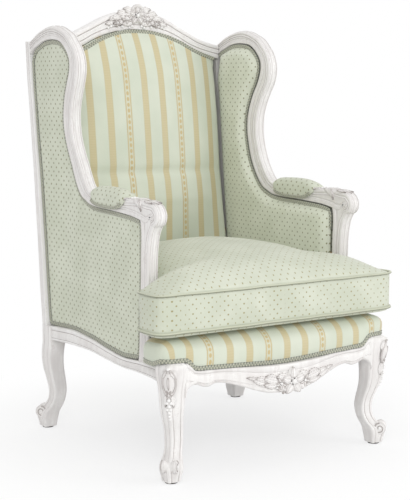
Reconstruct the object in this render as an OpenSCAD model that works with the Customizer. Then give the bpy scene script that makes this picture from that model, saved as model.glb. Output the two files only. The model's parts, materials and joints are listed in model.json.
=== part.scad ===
// High-backed winged armchair with a carved and painted frame and a loose T-shaped seat cushion.
// Millimetres. X runs to the viewer's right, Y to the back, Z up; the origin is on the floor
// below the middle of the chair. Outlines are drawn as [y, z] from the side, [x, z] from the
// front and [x, y] from above, and the left side is the mirror image of the right side.

/* [Frame] */
// Width over the outer faces of the arms and back posts
frame_w = 632; // [620:2:650]
// Thickness of the arms, wings and posts, seen from the front
post_w = 32; // [30:1:34]
// Depth of the tacking edge that runs on behind each upholstered panel
tack_edge = 12; // [8:1:14]
// Thickness of the crest rail from front to back
crest_t = 45; // [40:1:50]
// Side of the square block at the top of a front leg
knee_block = 52; // [46:1:54]
// Side of the square block at the top of a back leg
back_block = 50; // [44:1:52]
// Thickness of the side seat rails below the arms
rail_t = 34; // [32:1:38]

/* [Feet] */
// Height of the dark glide under each foot
glide_h = 4; // [3:0.5:6]
// Radius of the glide
glide_r = 15; // [12:0.5:17]

/* [Upholstery] */
// Width of the gimp braid
gimp_w = 9; // [7:0.5:10]
// Thickness of the gimp braid
gimp_t = 2.6; // [2:0.1:3]
// How far the side pads stand in from the frame
side_pad = 16; // [12:1:18]
// Crown of the inside back, at its fullest
back_crown = 40; // [20:1:44]
// Thickness of the inside back at its edge
back_edge = 18; // [14:1:20]
// Height of the arm pads above the arm
arm_pad = 28; // [18:1:32]

/* [Seat cushion] */
// Half the width of the cushion at its front ears
ear_half = 362; // [350:1:364]
// Half the width of the cushion between the arms
seat_half = 262; // [250:1:263]
// Height of the cushion's boxing between the two pipings
boxing_h = 84; // [70:1:100]
// Height of the crown above the upper piping
cushion_crown = 66; // [30:1:70]
// Radius of the piping
piping_r = 4.6; // [3.5:0.1:5]
// Height of the cushion's underside above the floor
cushion_base = 359; // [358.5:0.5:362]

/* [Fastening] */
// Diameter of the dowels in the seat frame
dowel_d = 10; // [8:1:12]
// Clearance between the upholstery and the frame
gap = 0.5; // [0.4:0.1:0.8]

/* [Hidden] */

paint = [0.93, 0.92, 0.90];
bare_wood = [0.78, 0.66, 0.48];
dotted_silk = [0.78, 0.83, 0.73];
striped_silk = [0.76, 0.83, 0.75];
braid = [0.58, 0.62, 0.54];
steel = [0.62, 0.63, 0.65];
linen = [0.72, 0.66, 0.54];
dark = [0.14, 0.13, 0.12];

outer_x = frame_w / 2;
mid_x = outer_x - post_w / 2;
inner_x = outer_x - post_w;
panel_x = outer_x - 13;
pad_root_x = inner_x + 6;

// Wing: each station is its front edge and the edge of the panel behind it, as [y, z, y, z]
wing_stations = [[360.8, 1060, 356.9, 1026], [337, 1071, 338, 1039], [314, 1082, 314, 1048],
    [288, 1090, 290, 1057], [263, 1096, 266, 1061], [235, 1098, 242, 1062], [208, 1092, 219, 1060],
    [184, 1083, 201, 1056], [160, 1072, 185, 1048], [140, 1055, 172, 1038], [120, 1034, 157, 1023],
    [107, 1008, 147, 1003], [104, 980, 149, 977], [112, 950, 161, 949], [129, 920, 179, 916],
    [145, 885, 192, 880], [153, 850, 198, 845], [151, 808, 194, 805], [139, 770, 182, 766],
    [118, 727, 163, 722], [96, 693, 143, 687], [78, 675, 118, 658], [62, 668, 92, 645]];
// Arm: each station is its top edge and its lower edge, from the wing to the scrolled front
arm_stations = [[62, 668, 92, 645], [44, 664, 66, 636], [20, 662, 28, 632], [-38, 662, -38, 630],
    [-98, 662, -98, 627], [-146, 665, -143, 624], [-190, 665, -184, 618], [-226, 662, -215, 612],
    [-252, 656, -233, 613], [-266, 645, -245, 619], [-268, 632, -250, 626]];
// Arm post: height, then its front and back edges
post_stations = [[268, -225, -178], [300, -225, -181], [350, -224, -184], [410, -224, -187],
    [470, -225, -190], [530, -227, -191], [570, -233, -193], [595, -238, -192], [626, -240, -188]];
// Back post: height and the line of its back edge
stile_stations = [[262, 309], [320, 316], [400, 324], [495, 331], [560, 337], [700, 350],
    [876, 370], [960, 381], [1060, 389]];
// How far the back posts stand out beyond the arms
stile_out = 14;
stile_edge = 28;

// Legs: height, how far the centre lies out along the corner's diagonal, and half the side
front_foot = [319, -332];
front_leg_stations = [[glide_h, 0, 17.5], [20, 2, 20.5], [34, 3, 23], [46, -2, 23.5], [54, -10, 22],
    [62, -20, 18], [80, -26.5, 17.5], [100, -29, 18.5], [122, -26, 19], [145, -17.5, 21.5],
    [165, -11, 24], [185, -8, 26], [205, -8, 27.5], [220, -9, 27.5], [232, -9.9, 26]];
front_leg_top = 283;
back_foot = [320, 302];
back_leg_stations = [[glide_h, 0, 17.5], [20, 2, 20], [34, 3, 22], [46, -2, 23], [54, -10, 22],
    [64, -20, 18.5], [85, -27, 18.5], [110, -29, 20], [140, -24, 21.5], [170, -18, 23],
    [200, -16, 24], [225, -18, 24.5], [240, -20.5, 25]];
back_leg_top = 289;
back_block_y = 280;

// Side rail, by distance back: its lower edge, the edge of the panel above it, and how far it
// stands out further than below the arms
side_rail_stations = [[-306, 236, 276, 14], [-258, 238, 273, 6], [-178, 239, 268, 0], [-100, 238, 264, -1],
    [-23, 244, 272, -1], [60, 253, 285, 1], [148, 255, 293, 5], [200, 254, 292, 8],
    [back_block_y - 25, 252, 290, 12]];
// Front rail, by distance from the middle: its lower edge, its upper edge and its front
front_rail_stations = [[0, 186, 257, -371], [50, 190, 258, -371], [90, 200, 260, -370.5],
    [130, 214, 262, -364], [176, 228, 264, -356], [204, 231, 265, -354], [222, 225, 266, -354],
    [240, 227, 266, -354], [256, 234, 267, -354], [286, 235, 272, -353]];

// Crest rail, from the middle outwards: its upper edge and the edge of the inside back below it
crest_stations = [[0, 1150, 0, 1099], [46, 1147, 42, 1097], [82, 1138, 74, 1091],
    [112, 1126, 106, 1082], [144, 1110, 139, 1069], [176, 1095, 172, 1052], [210, 1079, 209, 1038],
    [248, 1067, 247, 1028], [284, 1060, 284, 1020]];
crest_front = 344;

// Panel between the wing, arm, post, seat rail and back post, seen from the side
post_heights = [600, 530, 470, 410, 350, 300];
stile_heights = [320, 400, 495, 560, 700, 876, 960];
panel_top = [[357, 1010], for (s = wing_stations) if (s[2] < 350) [s[2], s[3]],
    for (s = arm_stations) if (s[2] < 90 && s[2] > -190) [s[2], s[3]]];
panel_front = [for (z = post_heights) [table(post_stations, z, 2), z]];
panel_foot = [[-178.5, 281], [-168, 269.5], for (s = side_rail_stations) if (s[0] > -170) [s[0], s[2]],
    [283.5, 291]];
panel_back = [for (z = stile_heights) [table(stile_stations, z) - stile_edge, z]];
panel_outline = [each panel_top, each panel_front, each panel_foot, each panel_back];
// The padded panels inside stop behind the cushion
pad_foot_z = 306;
pad_outline = [for (p = panel_top) if (p[1] > 617 && p[1] != 1010) p,
    for (p = panel_front) if (p[1] > 320) p, [-180, pad_foot_z], [283, pad_foot_z],
    for (p = panel_back) if (p[1] > 330) p];

// Inside back: height and the depth of its edge
back_line = [[330, 238], [420, 248], [508, 262], [600, 280], [700, 296], [781, 303], [860, 311],
    [943, 323], [1018, 336], [1099, 344]];
back_half = 265;

// Seat from above, right half, front to back
cushion_half = [[0, -361], [120, -360], [240, -357], [320, -354], [352, -346], [ear_half, -325],
    [ear_half, -280], [358, -250], [344, -236], [312, -231], [285, -230], [268, -217],
    [seat_half, -178], [seat_half, -80], [seat_half, 40], [seat_half - 2, 140], [seat_half - 8, 196],
    [seat_half - 34, 212], [180, 215], [90, 216], [0, 216]];
deck_half = [[0, -354], [120, -352], [230, -348], [300, -343], [332, -335], [343, -318], [343, -282],
    [340, -256], [330, -237], [306, -231], [282, -229], [266, -215], [264, -172], [264, -60],
    [264, 80], [262, 180], [250, 214], [190, 220], [90, 221], [0, 221]];
seat_centre = [0, -285];
seat_mid_y = -68;

cushion_top_z = cushion_base + 2 * piping_r + boxing_h + piping_r;
deck_top = cushion_base - 2;

// One span of a smooth curve through points
function span(a, b, c, d, t) =
    (2 * b + (c - a) * t + (2 * a - 5 * b + 4 * c - d) * t * t + (3 * b - a - 3 * c + d) * t * t * t) / 2;
// Smooth open curve through the points p, with n steps between them
function curve(p, n) = let (last = len(p) - 1)
    [for (i = [0:last - 1]) for (k = [0:n - 1])
        span(p[max(i - 1, 0)], p[i], p[i + 1], p[min(i + 2, last)], k / n), p[last]];
// Smooth closed curve through the points p
function loop(p, n) = let (m = len(p))
    [for (i = [0:m - 1]) for (k = [0:n - 1])
        span(p[(i + m - 1) % m], p[i], p[(i + 1) % m], p[(i + 2) % m], k / n)];
// Half outlines made whole
function both_sides(half) =
    [each half, for (i = [len(half) - 2:-1:1]) [-half[i][0], half[i][1]]];
function unit(v) = v / norm(v);
// Inward normals of a closed outline, whichever way round it runs
function area(p) = let (m = len(p))
    [for (i = [0:m - 1]) p[i][0] * p[(i + 1) % m][1] - p[(i + 1) % m][0] * p[i][1]] * [for (q = p) 0.5];
function inset(p, d) = let (m = len(p), turn = area(p) > 0 ? 1 : -1)
    [for (i = [0:m - 1]) let (t = unit(p[(i + 1) % m] - p[(i + m - 1) % m]))
        p[i] + turn * d * turned(t)];
// Unit direction at point i of an open line, and the same turned left
function heading(p, i) = unit(p[min(i + 1, len(p) - 1)] - p[max(i - 1, 0)]);
function turned(t) = [-t[1], t[0]];
// Flat band of width w along an open line
function band(p, w) = let (last = len(p) - 1, side = [for (i = [0:last]) turned(heading(p, i)) * w / 2])
    [for (i = [0:last]) p[i] + side[i], for (i = [last:-1:0]) p[i] - side[i]];
// Volume enclosed by faces, with its sign
function signed_volume(points, faces) =
    let (parts = [for (f = faces) for (i = [1:len(f) - 2])
        cross(points[f[0]], points[f[i]]) * points[f[i + 1]]])
    parts * [for (p = parts) 1];
// Value at x of a table of [x, value] rows
function table(rows, x, column = 1) =
    let (i = max([0, for (k = [0:len(rows) - 2]) if (rows[k][0] <= x) k]),
        a = rows[i], b = rows[i + 1], t = min(max((x - a[0]) / (b[0] - a[0]), 0), 1))
    a[column] + (b[column] - a[column]) * t;

// Flat ring seen along its main axis, so that it runs anticlockwise
function facing(ring) = let (m = len(ring),
    sums = [for (i = [0:m - 1]) cross(ring[i] - ring[0], ring[(i + 1) % m] - ring[0])],
    n = [for (k = [0:2]) [for (v = sums) v[k]] * [for (v = sums) 1]],
    k = abs(n[0]) > abs(n[1]) && abs(n[0]) > abs(n[2]) ? 0 : abs(n[1]) > abs(n[2]) ? 1 : 2)
    [for (q = ring) [q[(k + 1) % 3] * sign(n[k]), q[(k + 2) % 3]]];
function left_turn(a, b, c) = (b[0] - a[0]) * (c[1] - a[1]) - (b[1] - a[1]) * (c[0] - a[0]);
function covers(a, b, c, q) = q != a && q != b && q != c
    && left_turn(a, b, q) > -1e-6 && left_turn(b, c, q) > -1e-6 && left_turn(c, a, q) > -1e-6;
function is_ear(p, ids, k) =
    let (m = len(ids), a = p[ids[(k + m - 1) % m]], b = p[ids[k]], c = p[ids[(k + 1) % m]])
    left_turn(a, b, c) > 1e-6 && len([for (i = ids) if (covers(a, b, c, p[i])) i]) == 0;
function first_ear(p, ids, k = 0) = k >= len(ids) - 1 || is_ear(p, ids, k) ? k : first_ear(p, ids, k + 1);
// Triangles that fill a flat ring, cut off one corner at a time
function fill(p, ids) = len(ids) < 4 ? [ids] : let (m = len(ids), k = first_ear(p, ids))
    [[ids[(k + m - 1) % m], ids[k], ids[(k + 1) % m]],
        each fill(p, [for (i = [0:m - 1]) if (i != k) ids[i]])];
function cap(ring) = fill(facing(ring), [for (i = [0:len(ring) - 1]) i]);

module solid(points, faces) {
    outward = signed_volume(points, faces) < 0;
    polyhedron(points, outward ? faces
        : [for (f = faces) [for (i = [len(f) - 1:-1:0]) f[i]]], convexity = 10);
}

// Skin over a row of rings with equal counts, closed by flat ends, by end points, or in a loop
module skin(rings, closed = false, start = [], finish = []) {
    n = len(rings[0]);
    m = len(rings);
    spans = closed ? m - 1 : m - 2;
    sides = [for (i = [0:spans]) for (j = [0:n - 1])
        let (a = i * n + j, b = i * n + (j + 1) % n, c = ((i + 1) % m) * n + (j + 1) % n,
            d = ((i + 1) % m) * n + j)
        each [[a, b, c], [a, c, d]]];
    top = (m - 1) * n;
    first_cap = len(start) > 0 ? [for (j = [0:n - 1]) [m * n, (j + 1) % n, j]]
        : [for (f = cap(rings[0])) [f[2], f[1], f[0]]];
    last_at = m * n + (len(start) > 0 ? 1 : 0);
    last_cap = len(finish) > 0 ? [for (j = [0:n - 1]) [last_at, top + j, top + (j + 1) % n]]
        : [for (f = cap(rings[m - 1])) [top + f[0], top + f[1], top + f[2]]];
    points = [for (r = rings) each r, if (len(start) > 0) start, if (len(finish) > 0) finish];
    solid(points, closed ? sides : concat(sides, first_cap, last_cap));
}

module both(left) {
    if (left) mirror([1, 0, 0]) children();
    else children();
}

// Cross-section of a frame rail: depth and place from its outer edge (0) to the panel's edge (1),
// then how far it runs on behind the panels
rail_bevel = 5;
function rail_section(w) = [[rail_bevel, 0, 0], [w - rail_bevel, 0, 0], [w, 0.16, 0], [w, 1, 0],
    [w - 14, 1, 0], [w - 14, 1, 1], [6.6, 1, 1], [6.6, 1, 0], [0, 1, 0], [0, 0.16, 0]];

// Rail in the side plane, from its stations
// The outer face spreads towards the back posts
function side_ring(s, edge) = let (a = [s[0], s[1]], b = [s[2], s[3]], away = unit(b - a),
    out = stile_out * min(max((s[0] - 200) / 130, 0), 1))
    [for (q = rail_section(post_w)) let (p = a + (b - a) * q[1] + away * edge * q[2])
        [inner_x + q[0] + (q[0] > post_w - 13 ? out : 0), p[0], p[1]]];
module side_rail_skin(stations) {
    skin([for (s = stations) side_ring(s, tack_edge)]);
}

octagon = [[1, 0.72], [0.72, 1], [-0.72, 1], [-1, 0.72], [-1, -0.72], [-0.72, -1], [0.72, -1],
    [1, -0.72]];
// Leg of square stock whose centre moves out and in along the corner's diagonal
module cabriole(foot, stations, out_y) {
    skin([for (s = curve(stations, 2)) let (d = s[1] * sqrt(0.5))
        [for (q = octagon) [foot[0] + d + q[0] * s[2], foot[1] + out_y * d + q[1] * s[2], s[0]]]]);
}

module front_leg(left) {
    block_x = inner_x + 54 - knee_block;
    last = front_leg_stations[len(front_leg_stations) - 1];
    color(paint) both(left) {
        cabriole(front_foot, front_leg_stations, -1);
        translate([block_x, -352, last[0] - 2]) cube([knee_block, knee_block, front_leg_top - last[0] + 2]);
    }
}

module back_leg(left) {
    block_x = inner_x + 50 - back_block;
    last = back_leg_stations[len(back_leg_stations) - 1];
    color(paint) both(left) {
        cabriole(back_foot, back_leg_stations, 1);
        translate([block_x, back_block_y - 25, last[0] - 2])
            cube([back_block, back_block, back_leg_top - last[0] + 2]);
        skin([for (s = stile_stations) let (z = max(s[0], last[0] + 20), x = outer_x + stile_out)
            if (s[0] != 320) [[inner_x, s[1], z], [x, s[1], z],
            [x, s[1] - stile_edge, z], [inner_x, s[1] - stile_edge, z]]]);
        skin([for (s = stile_stations) if (s[0] > 300)
            let (z = min(s[0], 1008), y = table(stile_stations, z) - stile_edge, inside = pad_root_x + 0.6)
            [[panel_x - 1, y + 1, z], [panel_x - 1, y - tack_edge, z],
            [inside, y - tack_edge, z], [inside, y + 1, z]]]);
    }
}

// Seat rail ring: across from its inner face to its outer face, with a ledge behind the panel
function seat_rail_ring(low, edge, back, face, ledge, top) =
    [[back, low + 5], [back + 6, low], [face - 10, low], [face - 1, low + 8],
    [face, (low + edge) / 2 + 2], [face - 4, edge], [ledge, edge], [ledge, top], [back, top]];
rail_top = 285;
side_rail_back = inner_x + 1;

module side_seat_rail(left) {
    color(paint) both(left) difference() {
        skin([for (s = side_rail_stations) let (face = side_rail_back + rail_t + s[3])
            [for (q = seat_rail_ring(s[1], s[2], side_rail_back, face, panel_x - 1, s[2] + 12))
                [q[0], s[0], q[1]]]]);
        post_body(gap);
        translate([inner_x - 10, -360, 200]) cube([80, 60, 120]);
        dowel_holes();
    }
}

front_rail_back = -305;
module front_seat_rail() {
    half = curve(front_rail_stations, 2);
    whole = [for (i = [len(half) - 1:-1:1]) let (s = half[i]) [-s[0], s[1], s[2], s[3]], each half];
    color(paint) difference() {
        skin([for (s = whole)
            [for (q = seat_rail_ring(s[1], s[2], -front_rail_back, -s[3], 336, rail_top))
                [s[0], -q[0], q[1]]]]);
        dowel_holes();
    }
}

back_rail_half = inner_x + 50 - back_block;
module back_seat_rail() {
    color(paint) difference() {
        translate([-back_rail_half, back_block_y - 20, 240]) cube([2 * back_rail_half, 42, rail_top - 240]);
        dowel_holes();
    }
}

// Arm post, grown by more where it is cut from its neighbours
module post_body(more = 0) {
    skin([for (s = post_stations) let (a = s[1] - more, b = s[2] + more, z = s[0] - more,
        x0 = inner_x + 0.3 - more, x1 = outer_x - 0.3 + more)
        [[x0 + 5, a, z], [x1 - 5, a, z], [x1, a + 6, z], [x1, b, z], [panel_x - 1.5 + more, b, z],
        [panel_x - 1.5 + more, b + tack_edge, z], [pad_root_x + 1.2 - more, b + tack_edge, z],
        [pad_root_x + 1.2 - more, b, z], [x0, b, z], [x0, a + 6, z]]]);
}

// Room above the post for the underside of the arm, from x0 to x1
module arm_room(x0, x1, edge) {
    tip = arm_stations[edge > 0 ? 9 : 10];
    under = [for (i = [5:9]) let (s = arm_stations[i], a = [s[0], s[1]], b = [s[2], s[3]])
        b + unit(b - a) * edge - [0, 0.06]];
    translate([x0, 0, 0]) rotate([90, 0, 90]) linear_extrude(x1 - x0)
        polygon([each under, [tip[2], tip[3] - 0.06], [tip[2], 700], [under[0][0], 700]]);
}

module arm_post(left) {
    color(paint) both(left) difference() {
        post_body();
        arm_room(inner_x - 20, outer_x + 20, 0);
        arm_room(pad_root_x + 0.4, panel_x - 0.9, tack_edge);
    }
}

module arm_rail(left) {
    color(paint) both(left) side_rail_skin(arm_stations);
}

module wing_rail(left) {
    color(paint) both(left) side_rail_skin(wing_stations);
}

module crest_rail() {
    half = curve(crest_stations, 2);
    whole = [for (i = [len(half) - 1:-1:1]) let (s = half[i]) [-s[0], s[1], -s[2], s[3]], each half];
    color(paint) skin([for (s = whole) let (a = [s[0], s[1]], b = [s[2], s[3]])
        [for (q = rail_section(crest_t)) let (p = a + (b - a) * q[1] + [0, -tack_edge] * q[2])
            [p[0], crest_front + q[0], p[1]]]]);
}

// Leaf lying on a carving, of length l and width w, pointing along +X
module leaf(l, w, h) {
    n = 8;
    half = [for (i = [0:n]) [l * i / n, w / 2 * pow(max(sin(180 * i / n), 0), 0.8)]];
    linear_extrude(h) polygon([each half, for (i = [n - 1:-1:1]) [half[i][0], -half[i][1]]]);
}

module rosette(r, petals, h) {
    for (i = [0:petals - 1]) rotate(90 + i * 360 / petals) translate([r * 0.62, 0, 0])
        cylinder(r = r * 0.4, h = h, $fn = 24);
    cylinder(r = r * 0.3, h = h + 4, $fn = 24);
}

// Flower with a spray of leaves to both sides; a leaf is [x, z, angle, length, width]
module spray(leaves, front_y, flower_z, flower_r, flower_h) {
    color(paint) {
        translate([0, front_y, flower_z]) rotate([90, 0, 0]) rosette(flower_r, 5, flower_h);
        for (side = [-1, 1]) for (i = [0:len(leaves) - 1]) let (s = leaves[i])
            translate([side * s[0], front_y, s[1]]) rotate([90, 0, 0])
                rotate(side > 0 ? s[2] : 180 - s[2]) leaf(s[3], s[4], 8 + i + side / 4);
    }
}

module crest_carving() {
    spray([[16, 1138, 26, 62, 30], [30, 1143, 6, 70, 26], [12, 1146, 62, 32, 26], [52, 1129, -18, 56, 24]],
        crest_front - 0.2, 1147, 24, 12);
}

module apron_carving() {
    spray([[18, 214, 10, 74, 30], [30, 204, -14, 60, 22], [40, 222, 24, 48, 20]], -371.3, 214, 25, 14);
}

module lower_back_rail() {
    color(bare_wood) translate([-inner_x + gap, 304, 478]) cube([2 * (inner_x - gap), 13.5, 42]);
}

module arm_stay(left) {
    color(bare_wood) both(left) translate([pad_root_x + 1, -177, 462]) cube([7.4, 464, 34]);
}

// Triangular block in a corner of the seat frame, at [x, y], turned to face the seat
module corner_block(x, y, turn) {
    translate([x, y, 246]) rotate(turn) linear_extrude(34) polygon([[1, 1], [62, 1], [1, 62]]);
}

block_corners = [[-1, -1, 0], [1, -1, 90], [1, 1, 180], [-1, 1, 270]];
block_x = side_rail_back - 1;
block_front = -305;
block_back = back_block_y - 20;

module corner_blocks() {
    color(bare_wood) difference() {
        for (c = block_corners)
            corner_block(c[0] * block_x, c[1] < 0 ? block_front : block_back, c[2]);
        screw_shapes(0.4, 0.4);
    }
}

// Screw through each block, lying towards the corner
module screw_shapes(more_r, more_l) {
    for (c = block_corners)
        translate([c[0] * block_x, c[1] < 0 ? block_front : block_back, 263]) rotate(c[2] + 45)
            rotate([0, 90, 0]) {
                translate([0, 0, 6]) cylinder(r = 2.4 + more_r, h = 40 + more_l, $fn = 24);
                translate([0, 0, 42]) cylinder(r = 4.6 + more_r, h = 4 + more_l, $fn = 24);
            }
}

module corner_screws() {
    color(steel) screw_shapes(0, 0);
}

dowel_h = 262;
module dowels(more) {
    for (side = [-1, 1]) {
        translate([side * (inner_x - 22), -334, dowel_h - 12]) rotate([0, side * 90, 0])
            cylinder(d = dowel_d + more, h = 21 + more, $fn = 32);
        translate([side * (inner_x - 22), back_block_y, dowel_h - 6]) rotate([0, side * 90, 0])
            cylinder(d = dowel_d + more, h = 17 + more, $fn = 32);
        translate([side * (outer_x - 12), back_block_y - 25.3, dowel_h]) rotate([90, 0, 0])
            cylinder(d = dowel_d + more, h = 22 + more, $fn = 32);
        translate([side * (outer_x - 12), -299.7, dowel_h - 8]) rotate([-90, 0, 0])
            cylinder(d = dowel_d + more, h = 22 + more, $fn = 32);
    }
}
module dowel_holes() {
    dowels(0.6);
}

module frame_dowels() {
    color(bare_wood) dowels(0);
}

// Zigzag spring wires run from front to back on the seat rails
spring_rows = [-180, -90, 0, 90, 180];
spring_front = -316;
spring_back = 270;
spring_pitch = 27.6;
wire = 3.6;
function zigzag_line() = [for (i = [0:20]) for (k = [-1:1]) let (turn = i % 2 == 0 ? 1 : -1)
    [turn * (12 + 10 * cos(k * 70)), spring_front + 14 + i * spring_pitch + 10 * sin(k * 70)]];

module seat_springs() {
    color(steel) for (x = spring_rows) translate([x, 0, rail_top + 2])
        linear_extrude(wire) polygon(band(zigzag_line(), wire));
}

module spring_clips() {
    color(steel) for (x = spring_rows) {
        translate([x - 9, spring_front + 1, rail_top]) cube([18, 3, 7]);
        translate([x - 9, spring_back - 9, rail_top]) cube([18, 3, 7]);
    }
}

module spring_cloth() {
    color(linen) translate([-245, -296, rail_top + 6]) cube([490, 500, 1.6]);
}

module dust_cover() {
    color(dark) translate([-278, -302, 236.5]) cube([556, 552, 1.2]);
}

// Share of the full crown at a point of the seat
function seat_bulge(p, half_front, half_back) =
    let (ear = min(max((-p[1] - 220) / 40, 0), 1),
        w = half_back + (half_front - half_back) * ear * ear * (3 - 2 * ear), u = min(abs(p[0]) / w, 1),
        v = min(abs(p[1] - seat_mid_y) / 294, 1))
    pow(max(1 - pow(u, 3.2), 0), 0.8) * pow(max(1 - pow(v, 3.4), 0), 0.8);
// Ring of an outline drawn in towards the seat's centre, at a height that follows the bulge
function seat_ring(p, s, z, crown) =
    [for (q = p) let (r = seat_centre + (q - seat_centre) * s)
        [r[0], r[1], z + crown * seat_bulge(r, ear_half, seat_half)]];
function front_edge_height(x) = abs(x) > 286 ? 291 : table(front_rail_stations, abs(x), 2) + 1;

module seat_deck() {
    outline = both_sides(deck_half);
    well = rail_top + 9;
    color(striped_silk) skin([
        [for (q = inset(outline, 9)) [q[0], q[1], well]],
        [for (q = outline) [q[0], q[1], q[1] < -310 ? front_edge_height(q[0]) : well - 3]],
        [for (q = inset(outline, -1)) [q[0], q[1], 312]],
        [for (q = outline) [q[0], q[1], 330]],
        [for (q = inset(outline, 7)) [q[0], q[1], 346]],
        [for (q = inset(outline, 17)) [q[0], q[1], deck_top - 1]]]);
}

// Height of the deck gimp's lower edge, which climbs from the front rail on to the knee blocks
deck_gimp_side = 291;
function deck_gimp_height(x) =
    let (low = table(front_rail_stations, x, 2) + 0.8, climb = min(max((x - 262) / 38, 0), 1))
    low + climb * (deck_gimp_side - low);
module deck_gimp() {
    half = [for (i = [8:-1:0]) deck_half[i], for (i = [1:8]) [-deck_half[i][0], deck_half[i][1]]];
    line = curve(half, 3);
    color(braid) skin([for (i = [0:len(line) - 1])
        let (n = turned(heading(line, i)), a = line[i] + n * 1.6, b = line[i] + n * (1.6 + gimp_t),
            z = deck_gimp_height(abs(line[i][0])))
        [[a[0], a[1], z], [b[0], b[1], z], [b[0], b[1], z + gimp_w], [a[0], a[1], z + gimp_w]]]);
}

// Depth of the inside back at height z, and its crown
function back_depth(z) = table(back_line, z);
function back_bulge(u, z) = back_crown * (1 - pow(abs(u), 2.6))
    * (0.3 + 0.7 * min(max((z - 480) / 140, 0), 1)) * (z > 960 ? max(1 - pow((z - 960) / 139, 2), 0) : 1);
back_columns = 12;
back_rows = 13;
back_foot_z = 332;
crest_edge = [for (s = curve(crest_stations, 2)) [s[2], s[3]]];
function back_top(x) = table(crest_edge, abs(x)) - 1.2;

// Points of the inside back, in rows from its foot to the arch of the crest
function back_points(depth) = [for (j = [0:back_rows]) for (i = [0:back_columns])
    let (u = 2 * i / back_columns - 1, x = u * back_half,
        z = back_foot_z + (back_top(x) - back_foot_z) * j / back_rows)
    [x, back_depth(z) + (depth == 0 ? -0.1 - back_bulge(u, z) : j < back_rows - 1 ? depth
        : j == back_rows ? 3 : depth / 2), z]];

module inside_back() {
    front = back_points(0);
    rear = back_points(back_edge);
    w = back_columns + 1;
    count = w * (back_rows + 1);
    grid = [for (j = [0:back_rows - 1]) for (i = [0:back_columns - 1]) let (a = j * w + i)
        each [[a, a + 1, a + w + 1], [a, a + w + 1, a + w]]];
    rim = [for (i = [0:back_columns]) i, for (j = [1:back_rows]) j * w + back_columns,
        for (i = [back_columns - 1:-1:0]) back_rows * w + i, for (j = [back_rows - 1:-1:1]) j * w];
    edge = [for (k = [0:len(rim) - 1]) let (a = rim[k], b = rim[(k + 1) % len(rim)])
        each [[b, a, a + count], [b, a + count, b + count]]];
    color(striped_silk) solid(concat(front, rear),
        concat(grid, [for (f = grid) [f[2] + count, f[1] + count, f[0] + count]], edge));
}

function back_skin(x, z) = back_depth(z) - back_bulge(x / back_half, z) - 0.7;
module inside_back_gimp() {
    half = [for (p = crest_edge) if (p[0] < back_half - 6) [p[0], back_top(p[0]) - 1]];
    line = [for (i = [len(half) - 1:-1:1]) [-half[i][0], half[i][1]], each half];
    color(braid) skin([for (p = line)
        let (low = p[1] - gimp_w, a = back_skin(p[0], p[1]), b = back_skin(p[0], low))
        [[p[0], a, p[1]], [p[0], b, low], [p[0], b - gimp_t, low], [p[0], a - gimp_t, p[1]]]]);
}

// Sheet that follows the back posts between two heights, from depth a to depth b behind their front
function back_face(z) = table(stile_stations, z);
module back_sheet(x0, x1, z0, z1, a, b) {
    heights = [z0, for (s = stile_stations) if (s[0] > z0 + 5 && s[0] < z1 - 5) s[0], z1];
    skin([for (z = heights) let (y = back_face(z))
        [[x0, y + a, z], [x1, y + a, z], [x1, y + b, z], [x0, y + b, z]]]);
}

// Columns of the outside back, under the arch of the crest rail
arch_columns = [for (s = crest_stations) min(s[2], inner_x - gap)];
arch_sides = [for (i = [len(arch_columns) - 1:-1:1]) -arch_columns[i], each arch_columns];
back_sheet_foot = 302;
function arch(x) = table(crest_edge, abs(x)) - 2;

module outside_back() {
    color(dotted_silk) skin([for (x = arch_sides)
        let (heights = [back_sheet_foot, 400, 495, 560, 700, 876, 960, arch(x)], last = len(heights) - 1)
        [for (z = heights) [x, back_face(z) - 5.5, z],
            for (i = [last:-1:0]) [x, back_face(heights[i]) - 2.5, heights[i]]]]);
}

module outside_back_gimp() {
    side_x = inner_x - 1 - gimp_w / 2;
    turn_x = inner_x - 2 - gimp_w;
    rear = -2.2;
    along = [-turn_x, for (x = arch_sides) if (abs(x) < turn_x) x, turn_x];
    color(braid) {
        for (side = [-1, 1])
            back_sheet(side * side_x - gimp_w / 2, side * side_x + gimp_w / 2, back_sheet_foot,
                arch(inner_x), rear, rear + gimp_t);
        back_sheet(-turn_x, turn_x, back_sheet_foot, back_sheet_foot + gimp_w, rear, rear + gimp_t);
        skin([for (x = along)
            let (z = arch(x), low = z - gimp_w, head = back_face(z) + rear, foot = back_face(low) + rear)
            [[x, foot, low], [x, foot + gimp_t, low], [x, head + gimp_t, z], [x, head, z]]]);
    }
}

module back_webbing() {
    color(linen) for (x = [-200, -100, 0, 100, 200])
        back_sheet(x - 25, x + 25, 528, 1010, -16, -14.4);
}

// Plate over a side outline, with a ring for each [x, inset]
module side_panel(outline, rings) {
    color(dotted_silk) skin([for (r = rings) [for (p = inset(outline, r[1])) [r[0], p[0], p[1]]]]);
}

// Padded panel on the inside of an arm and wing
module inside_panel(left) {
    both(left) side_panel(pad_outline, [[pad_root_x - gap, 0.8], [inner_x + 1, 0.8],
        [inner_x + 0.9, gimp_w + 1.6], [inner_x - side_pad * 0.6, gimp_w + 2.2],
        [inner_x - side_pad + 1, gimp_w + 5], [inner_x - side_pad, gimp_w + 8]]);
}

// Braid along a side outline, between its points first and last, standing from x0 to x1
module side_gimp(outline, margin, first, last, x0, x1, closed = false) {
    outer = inset(outline, margin);
    inner = inset(outline, margin + gimp_w);
    skin([for (i = [first:last]) let (a = outer[i], b = inner[i])
        [[x0, a[0], a[1]], [x0, b[0], b[1]], [x1, b[0], b[1]], [x1, a[0], a[1]]]], closed);
}

module inside_gimp(left) {
    color(braid) both(left)
        side_gimp(pad_outline, 1.2, 1, len(panel_top) + 1, inner_x + 0.6 - gimp_t, inner_x + 0.6);
}

module outside_panel(left) {
    both(left) side_panel(panel_outline, [[panel_x - 0.5, 0.9], [panel_x + 7, 0.9]]);
}

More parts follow.
